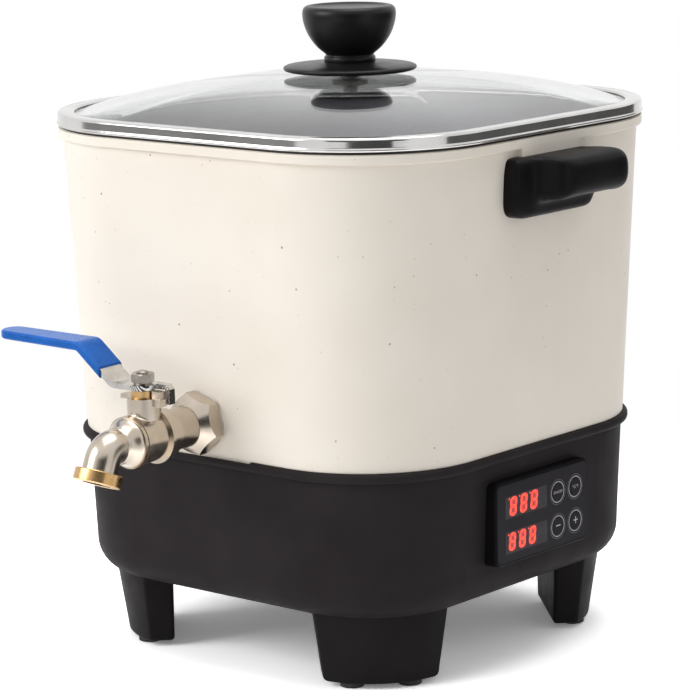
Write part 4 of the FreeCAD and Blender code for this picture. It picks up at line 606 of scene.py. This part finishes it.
RIM_OUTLINE = [(63.4, 264.5), (71.3, 264.5), (71.9, 264.7), (72.3, 265.2), (72.3, 265.7), (72.1, 266.1),
               (71.8, 266.4), (71.8, 266.7), (71.8, 269.5), (71.8, 269.8), (71.7, 270.4), (71.3, 270.9),
               (70.7, 271.1), (65.6, 271.2), (64.2, 271.1), (63.5, 270.7), (63.3, 270.2), (63.6, 269.9),
               (69.0, 269.9), (69.4, 269.6), (69.4, 266.0), (69.0, 265.7), (63.6, 265.6), (63.3, 265.2),
               (63.4, 264.5)]


def make_dome():
    """Glass with a flat foot in the band, steep shoulders and a flat crown."""
    deselect()
    bpy.ops.mesh.primitive_plane_add(size=2 * GLASS_HALF * MM, location=(0, 0, GLASS_FOOT_TOP * MM))
    dome = bpy.context.object
    bpy.ops.object.transform_apply(location=True, rotation=True, scale=True)
    bpy.ops.object.mode_set(mode="EDIT")
    bpy.ops.mesh.select_all(action="SELECT")
    bpy.ops.mesh.bevel(offset=GLASS_CORNER * MM, segments=16, affect="VERTICES")
    width, height = GLASS_HALF, GLASS_FOOT_TOP
    for share in DOME_SHARES:
        next_width = DOME_HALF * share
        next_height = GLASS_FOOT_TOP + DOME_RISE * (1 - share ** DOME_POWER)
        extrude((0, 0, (next_height - height) * MM))
        bpy.ops.transform.resize(value=(next_width / width, next_width / width, 1),
                                 center_override=(0, 0, next_height * MM))
        if share < DOME_SWELL_START:
            bpy.ops.transform.tosphere(value=DOME_SWELL)
        width, height = next_width, next_height
    bpy.ops.mesh.select_mode(type="FACE")
    bpy.ops.mesh.select_all(action="DESELECT")
    bpy.ops.object.mode_set(mode="OBJECT")
    for face in dome.data.polygons:
        face.select = len(face.vertices) > 8 and face.center.z < (GLASS_FOOT_TOP + 0.5) * MM
    bpy.ops.object.mode_set(mode="EDIT")
    bpy.ops.mesh.delete(type="FACE")
    bpy.ops.mesh.select_all(action="SELECT")
    bpy.ops.mesh.normals_make_consistent(inside=False)
    bpy.ops.object.mode_set(mode="OBJECT")
    take(dome)
    bpy.ops.object.shade_smooth()
    modified(dome, "SUBSURF", levels=2)
    modified(dome, "SOLIDIFY", thickness=GLASS_THICK * MM, offset=-1.0)
    finished(dome, "domed_glass", "glass", "lid")
    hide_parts("lid_glass")


def make_lid():
    """Glass, band, knob, plate and boss, in place of the nodes they follow."""
    make_dome()
    plate = spun(PLATE_OUTLINE)
    finished(plate, "knob_disc", "knob", "lid")
    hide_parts("knob_plate")
    boss = spun(BOSS_OUTLINE, 48)
    finished(boss, "knob_boss", "knob", "lid")
    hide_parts("knob_spacer")
    knob = spun(KNOB_OUTLINE)
    finished(knob, "turned_knob", "knob", "lid")
    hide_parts("lid_knob")
    rim = swept_square(RIM_OUTLINE, LID_CORNER_CENTRE)
    finished(rim, "rolled_rim", "polished", "lid")
    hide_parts("lid_rim")


# ---------------------------------------------------------------- valve
VALVE_FOOT = (0.0, -115.845, 127.8)    # mm; the outline below runs out from here along the flow
VALVE_DROOP = 1.2             # degrees
SHOULDER_OUTLINE = [(8.2, 52.0), (11.4, 52.0), (11.8, 52.4), (11.9, 53.1), (11.7, 53.9), (11.1, 54.9),
                    (10.4, 55.9), (9.7, 57.0), (9.1, 58.2), (8.75, 59.4), (8.55, 60.6), (8.2, 60.8),
                    (8.2, 52.0)]


def make_spout_shoulder():
    """Shoulder that narrows from the ring of the valve body to the spout."""
    shoulder = spun(SHOULDER_OUTLINE, 72)
    shoulder.rotation_euler = (math.radians(90 + VALVE_DROOP), 0, 0)
    shoulder.location = [value * MM for value in VALVE_FOOT]
    finished(shoulder, "spout_shoulder", "nickel", "base")


# ---------------------------------------------------------------- handles
# Right handle, in mm: x out of the wall, y along it, z up.
ROOT = 112.0                  # inside the wall, cut away in the end
WALL_SIDE = 119.3             # where it is cut flat, against the wall
PLATE_FACE = 129.9
PLATE_SPAN = (-33.9, 30.0)
PLATE_LEVELS = (225.6, 254.8)
PLATE_CORNER = 7.0
GRIP_LEVELS = (234.0, 254.9)
GRIP_OUTLINE = [(ROOT, -33.0), (129.2, -33.0), (129.8, -24.0), (130.4, -21.0), (132.4, -19.2),
                (136.0, -18.4), (140.0, -17.6), (143.6, -15.8), (145.9, -12.4), (146.7, -7.0),
                (146.95, 26.0), (146.8, 32.0), (145.8, 36.0), (143.0, 38.2), (138.8, 38.4), (134.0, 36.4),
                (130.0, 33.2), (127.0, 30.6), (124.0, 28.2), (121.5, 26.6), (ROOT, 26.0)]
GRIP_BLOCK = ((95.0, 146.95), (-60.0, 38.0), GRIP_LEVELS)       # its rounded edges trim the grip
GRIP_EDGE = 7.0
HOLLOW = ((134.0, 141.5), (-8.0, 26.0), (230.0, 242.0))
BEVEL_STEPS = 6
GRAIN = 0.75                  # mesh size of the blended handle
ROUNDING = 100                # passes that soften its edges


def make_plate():
    """Backing plate with rounded corners."""
    plate = box_between(((ROOT, PLATE_FACE), PLATE_SPAN, PLATE_LEVELS))
    round_corners(plate, PLATE_CORNER * MM, BEVEL_STEPS)
    bpy.ops.object.mode_set(mode="OBJECT")
    return plate


def make_grip():
    """Grip raised from its outline, with round edges above, below and at its far end, and hollowed from
    below."""
    grip = drawn(GRIP_OUTLINE)
    bpy.ops.mesh.select_all(action="SELECT")
    bpy.ops.mesh.edge_face_add()
    bpy.ops.object.mode_set(mode="OBJECT")
    grip.rotation_euler = (-math.pi / 2, 0.0, 0.0)
    grip.location = (0.0, 0.0, GRIP_LEVELS[0] * MM)
    settle(grip)
    bpy.ops.object.mode_set(mode="EDIT")
    raise_flat((GRIP_LEVELS[1] - GRIP_LEVELS[0]) * MM)
    bpy.ops.object.mode_set(mode="OBJECT")
    block = box_between(GRIP_BLOCK)
    bpy.ops.object.mode_set(mode="EDIT")
    bpy.ops.mesh.select_all(action="SELECT")
    bpy.ops.mesh.bevel(offset=GRIP_EDGE * MM, segments=BEVEL_STEPS, affect="EDGES")
    bpy.ops.object.mode_set(mode="OBJECT")
    for other, operation in ((block, "INTERSECT"), (box_between(HOLLOW), "DIFFERENCE")):
        modified(grip, "BOOLEAN", operation=operation, object=other)
        bpy.data.objects.remove(other)
    return grip


def make_right_handle():
    """Plate and grip blended into one moulding with soft edges."""
    handle = joined([make_plate(), make_grip()])
    modified(handle, "REMESH", mode="VOXEL", voxel_size=GRAIN * MM)
    modified(handle, "SMOOTH", factor=0.5, iterations=ROUNDING)
    bpy.ops.object.mode_set(mode="EDIT")
    bpy.ops.mesh.select_all(action="SELECT")
    bpy.ops.mesh.bisect(plane_co=(WALL_SIDE * MM, 0, 0), plane_no=(1, 0, 0), clear_inner=True,
                        use_fill=True)
    return closed_up(handle)


def make_handles():
    """Right handle, and the left one as the same moulding turned half round."""
    right = make_right_handle()
    left = copied(right)
    take(left)
    bpy.ops.object.mode_set(mode="EDIT")
    bpy.ops.mesh.select_all(action="SELECT")
    bpy.ops.transform.rotate(value=math.pi, orient_axis="Z", center_override=(0, 0, 0))
    bpy.ops.object.mode_set(mode="OBJECT")
    for piece, node in ((right, "right_handle"), (left, "left_handle")):
        finished(piece, "soft_" + node, "handle", "base")
        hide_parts(node)


# ---------------------------------------------------------------- displays and keys
PANEL_FRONT = 119.01 * MM
LENS_MIDDLE_Y = -14.5 * MM
LENS_LEVELS = {"upper": 84.2 * MM, "lower": 66.6 * MM}
LENS_WIDE = 33.8 * MM
LENS_TALL = 11.0 * MM
LENS_BACK = 118.75 * MM
LENS_FRONT = 119.06 * MM
LENS_CORNER = 0.5 * MM
LENS_RIM = 0.12 * MM          # sloping edge round its front,
LENS_CROWN = 0.02 * MM        # which stands this much proud
KEY_FRONT = 119.31 * MM
SEGMENT_WIDTH = 1.50 * MM
SEGMENT_THICK = 0.12 * MM
SEGMENT_BEVEL = 0.03 * MM
DIGIT_WIDE = 4.1 * MM         # between the middles of the upright segments
DIGIT_TALL = 8.0 * MM         # between the middles of the top and bottom segments
DIGIT_SLANT = math.radians(7.0)
DIGIT_BACK = LENS_FRONT - 0.04 * MM
LOWER_SIZE = 0.94             # the lower digits are a little smaller
MARK_SCALE = (0.24, 0.6, 1.0)
MARK_AWAY = 1.25 * MM         # from the upright segments to the small mark


def segment(length):
    """One lit segment, a long hexagon with bevelled edges, lying along x."""
    deselect()
    bpy.ops.mesh.primitive_circle_add(vertices=6, radius=SEGMENT_WIDTH / math.sqrt(3), fill_type="NGON")
    piece = bpy.context.object
    bpy.ops.object.mode_set(mode="EDIT")
    for way in (1, -1):
        bpy.ops.mesh.select_all(action="DESELECT")
        bpy.ops.object.mode_set(mode="OBJECT")
        for vertex in piece.data.vertices:
            vertex.select = vertex.co.x * way > SEGMENT_WIDTH * 0.1
        bpy.ops.object.mode_set(mode="EDIT")
        bpy.ops.transform.translate(value=(way * (length - SEGMENT_WIDTH) / 2, 0, 0))
    raise_flat(SEGMENT_THICK)
    bpy.ops.mesh.bevel(offset=SEGMENT_BEVEL, segments=2)
    bpy.ops.object.mode_set(mode="OBJECT")
    return piece


def digit():
    """All seven segments, leaning a little, with the small mark at the upper left."""
    level = segment(DIGIT_WIDE - SEGMENT_WIDTH * 0.25)
    upright = segment(DIGIT_TALL / 2 - SEGMENT_WIDTH * 0.1)
    lean = math.tan(DIGIT_SLANT)
    parts = []
    for row in (-1, 0, 1):
        bar = copied(level)
        bar.location = (lean * row * DIGIT_TALL / 2, row * DIGIT_TALL / 2, 0)
        parts.append(bar)
        for side in (-1, 1):
            if row:
                bar = copied(upright)
                bar.rotation_euler = (0, 0, math.pi / 2 - DIGIT_SLANT)
                bar.location = (side * DIGIT_WIDE / 2 + lean * row * DIGIT_TALL / 4,
                                row * DIGIT_TALL / 4, 0)
                parts.append(bar)
    mark = copied(level)
    mark.scale = MARK_SCALE
    mark.location = (-DIGIT_WIDE / 2 - MARK_AWAY, DIGIT_TALL / 2, 0)
    parts.append(mark)
    for spare in (level, upright):
        bpy.data.objects.remove(spare)
    for part in parts:
        settle(part)
    return joined(parts)


def make_lenses():
    """Smoked lenses with rounded rims, just proud of the front sheet."""
    for row, level in LENS_LEVELS.items():
        deselect()
        bpy.ops.mesh.primitive_cube_add(size=1.0)
        lens = bpy.context.object
        lens.scale = (LENS_FRONT - LENS_BACK, LENS_WIDE, LENS_TALL)
        lens.location = ((LENS_FRONT + LENS_BACK) / 2, LENS_MIDDLE_Y, level)
        settle(lens)
        round_corners(lens, LENS_CORNER, 4)
        bpy.ops.mesh.select_all(action="DESELECT")
        bpy.ops.object.mode_set(mode="OBJECT")
        for face in lens.data.polygons:
            face.select = face.normal.x > 0.9
        bpy.ops.object.mode_set(mode="EDIT")
        bpy.ops.mesh.select_mode(type="FACE")
        bpy.ops.mesh.inset(thickness=LENS_RIM)
        bpy.ops.transform.translate(value=(LENS_CROWN, 0, 0))
        bpy.ops.object.mode_set(mode="OBJECT")
        finished(lens, f"{row}_lens", "lens", "base")


def make_digits():
    """Three lit digits behind the front of each lens."""
    pattern = digit()
    for row, places, height, size in (("upper", UPPER_DIGITS, UPPER_LEVEL, 1.0),
                                      ("lower", LOWER_DIGITS, LOWER_LEVEL, LOWER_SIZE)):
        for i, y in enumerate(places):
            piece = copied(pattern)
            piece.scale = (size, size, 1.0)
            facing_panel(piece, (DIGIT_BACK, y * MM, height * MM))
            finished(piece, f"{row}_digit_{i + 1}", "lit", "base")
    bpy.data.objects.remove(pattern)


# Key places are along the panel and up, in mm; words come with their size in mm; rings are given as
# outer radius, width and finish: the inner ring is print, the outer one a faint painted shadow round it.
KEY_PLACES = {"on_off": (11.3, 84.2), "units": (25.8, 84.2), "minus": (11.3, 66.9), "plus": (25.8, 66.9)}
KEY_WORDS = {"on_off": ("ON/OFF", 2.05), "units": ("°C/°F", 2.3), "minus": ("−", 7.4), "plus": ("+", 7.4)}
RINGS = {"ring": (5.42 * MM, 0.46 * MM, "print"), "outer_shadow_ring": (6.45 * MM, 0.22 * MM, "ring_shadow")}
PRINT_THICK = 0.05 * MM


def ring(outer, wide):
    """Flat ring, drawn in x and y, for the printed rings and the painted shadow rings."""
    deselect()
    bpy.ops.mesh.primitive_circle_add(vertices=72, radius=outer, fill_type="NGON")
    piece = bpy.context.object
    bpy.ops.object.mode_set(mode="EDIT")
    bpy.ops.mesh.select_all(action="SELECT")
    bpy.ops.mesh.inset(thickness=wide)
    bpy.ops.mesh.delete(type="FACE")
    raise_flat(PRINT_THICK)
    bpy.ops.object.mode_set(mode="OBJECT")
    return piece


def printed_word(text, size):
    """Printed word, centred, as a thin mesh."""
    deselect()
    bpy.ops.object.text_add()
    piece = bpy.context.object
    piece.data.body = text
    piece.data.size = size * MM
    piece.data.extrude = PRINT_THICK / 2
    piece.data.align_x = "CENTER"
    piece.data.align_y = "CENTER"
    bpy.ops.object.convert(target="MESH")
    return bpy.context.object


def make_key_prints_and_shadows():
    """Printed rings and faint painted shadow rings on the panel round each key, and the word or sign on it.
    """
    for kind, (outer, wide, finish) in RINGS.items():
        pattern = ring(outer, wide)
        for key, (y, z) in KEY_PLACES.items():
            around = copied(pattern)
            facing_panel(around, (PANEL_FRONT - PRINT_THICK / 2, y * MM, z * MM))
            finished(around, f"{key}_{kind}", finish, "base")
        bpy.data.objects.remove(pattern)
    for key, (y, z) in KEY_PLACES.items():
        text, size = KEY_WORDS[key]
        word = printed_word(text, size)
        facing_panel(word, (KEY_FRONT, y * MM, z * MM))
        finished(word, f"{key}_print", "print", f"{key}_key")


make_lid()
make_handles()
make_spout_shoulder()
make_lenses()
make_digits()
make_key_prints_and_shadows()


# ---------------------------------------------------------------- camera
IMAGE_WIDE = 680
IMAGE_TALL = 690
FOCAL_PIXELS = 3162.04
MIDDLE_PIXEL = (354.75, 326.70)
CAMERA_PLACE = Vector((1.0175, -1.2152, 0.4520))
CAMERA_LOOK = Vector((-0.6311, 0.7537, -0.1834)).normalized()
CAMERA_ROLL = math.radians(-1.051)
SENSOR = 36.0


def make_camera():
    """Camera of the main view, with its middle shifted to the given pixel."""
    bpy.ops.object.camera_add(location=CAMERA_PLACE)
    camera = bpy.context.object
    camera.name = "main_camera"
    right = CAMERA_LOOK.cross(Vector((0, 0, 1))).normalized()
    up = right.cross(CAMERA_LOOK)
    across = right * math.cos(CAMERA_ROLL) + up * math.sin(CAMERA_ROLL)
    over = up * math.cos(CAMERA_ROLL) - right * math.sin(CAMERA_ROLL)
    turn = Matrix((across, over, -CAMERA_LOOK)).transposed().to_4x4()
    camera.matrix_world = Matrix.Translation(CAMERA_PLACE) @ turn
    long_side = max(IMAGE_WIDE, IMAGE_TALL)
    camera.data.sensor_fit = "AUTO"
    camera.data.sensor_width = SENSOR
    camera.data.lens = FOCAL_PIXELS / long_side * SENSOR
    camera.data.shift_x = -(MIDDLE_PIXEL[0] - IMAGE_WIDE / 2) / long_side
    camera.data.shift_y = (MIDDLE_PIXEL[1] - IMAGE_TALL / 2) / long_side
    camera.data.clip_end = 50.0
    bpy.context.scene.camera = camera


# ---------------------------------------------------------------- studio
FLOOR_SIZE = 30.0
FLOOR_FADE = (0.22, 0.50)     # metres from the middle between which the floor turns plain white
FLOOR_BOUNCE = 0.80           # brightness of the floor as it lights the object,
FLOOR_SEEN = 1.75             # and as it is seen
FLOOR_LIFT = 0.14
AMBIENT = 0.50
OBJECT_MIDDLE = (0.0, 0.0, 0.17)


def make_floor():
    """Pale floor that keeps the object's shadow and runs out to plain white."""
    deselect()
    bpy.ops.mesh.primitive_plane_add(size=FLOOR_SIZE, location=(0, 0, 0))
    floor = bpy.context.object
    floor.name = "studio_floor"
    material = bpy.data.materials.new("pale_floor")
    material.use_nodes = True
    tree = material.node_tree
    tree.nodes.remove(tree.nodes["Principled BSDF"])
    paint = tree.nodes.new("ShaderNodeBsdfDiffuse")
    glow = tree.nodes.new("ShaderNodeEmission")
    lifted = tree.nodes.new("ShaderNodeAddShader")
    tree.links.new(paint.outputs["BSDF"], lifted.inputs[0])
    tree.links.new(glow.outputs["Emission"], lifted.inputs[1])
    plain = tree.nodes.new("ShaderNodeEmission")
    plain.inputs["Color"].default_value = (1.0, 1.0, 1.0, 1.0)
    coords = tree.nodes.new("ShaderNodeTexCoord")
    length = tree.nodes.new("ShaderNodeVectorMath")
    length.operation = "LENGTH"
    tree.links.new(coords.outputs["Object"], length.inputs[0])
    away = tree.nodes.new("ShaderNodeMapRange")
    away.interpolation_type = "SMOOTHSTEP"
    away.inputs["From Min"].default_value = FLOOR_FADE[0]
    away.inputs["From Max"].default_value = FLOOR_FADE[1]
    tree.links.new(length.outputs["Value"], away.inputs["Value"])
    seen = seen_rays(tree)
    tree.links.new(spread(tree, seen, FLOOR_BOUNCE, FLOOR_SEEN, 0.0, 1.0), paint.inputs["Color"])
    tree.links.new(combine(tree, "MULTIPLY", seen, FLOOR_LIFT), glow.inputs["Strength"])
    blended(tree, combine(tree, "MULTIPLY", away.outputs["Result"], seen), lifted.outputs["Shader"],
            plain.outputs["Emission"])
    floor.data.materials.append(material)


def make_flag(name, place, wide, tall, facing, tone=0.01):
    """Dark card of the studio, seen only in what the metal and the glossy faces reflect."""
    deselect()
    bpy.ops.mesh.primitive_plane_add(size=1.0, location=place)
    card = bpy.context.object
    card.name = name
    card.scale = (wide, tall, 1.0)
    card.rotation_euler = (Vector(facing) - Vector(place)).to_track_quat("Z", "Y").to_euler()
    material = bpy.data.materials.new(name)
    material.use_nodes = True
    shader = material.node_tree.nodes["Principled BSDF"]
    shader.inputs["Base Color"].default_value = (tone, tone, tone, 1.0)
    card.data.materials.append(material)
    card.visible_camera = False
    card.visible_diffuse = False
    card.visible_shadow = False
    card.visible_transmission = False


def make_lamp(name, place, aim, size, power):
    """Soft rectangular studio lamp aimed at a point."""
    bpy.ops.object.light_add(type="AREA", location=place)
    lamp = bpy.context.object
    lamp.name = name
    lamp.data.shape = "RECTANGLE"
    lamp.data.size = size[0]
    lamp.data.size_y = size[1]
    lamp.data.energy = power
    lamp.rotation_euler = (Vector(aim) - Vector(place)).to_track_quat("-Z", "Y").to_euler()


def make_world():
    """Even light from all round, and white wherever the background itself is seen."""
    world = bpy.data.worlds.new("studio")
    bpy.context.scene.world = world
    world.use_nodes = True
    tree = world.node_tree
    even = tree.nodes["Background"]
    even.inputs["Color"].default_value = (1.0, 1.0, 1.0, 1.0)
    even.inputs["Strength"].default_value = AMBIENT
    white = tree.nodes.new("ShaderNodeBackground")
    white.inputs["Color"].default_value = (1.0, 1.0, 1.0, 1.0)
    white.inputs["Strength"].default_value = 1.0
    blended(tree, seen_rays(tree), even.outputs["Background"], white.outputs["Background"], "World Output")


bpy.context.scene.view_settings.view_transform = "Standard"
make_camera()
make_floor()
make_world()
make_lamp("left_softbox", (-1.1, -1.9, 1.3), OBJECT_MIDDLE, (1.4, 1.4), 31.0)
make_lamp("top_softbox", (0.1, 0.2, 2.2), OBJECT_MIDDLE, (1.6, 1.6), 26.0)
make_flag("dark_card_front", (1.9, -2.2, 0.75), 3.4, 1.5, (0.0, 0.0, 0.3))
make_flag("dark_card_right", (0.50, 0.47, 0.27), 1.0, 0.30, (0.0, 0.0, 0.27), 0.07)
make_flag("grey_card_right", (0.50, 0.47, 0.00), 1.0, 0.23, (0.0, 0.0, 0.00), 0.50)
make_flag("grey_card_corner", (0.62, -0.66, 0.06), 0.50, 0.44, (0.0, 0.0, 0.10), 0.05)
make_flag("grey_card_left", (-0.80, -1.05, 0.10), 1.3, 0.60, (0.0, 0.0, 0.25), 0.30)
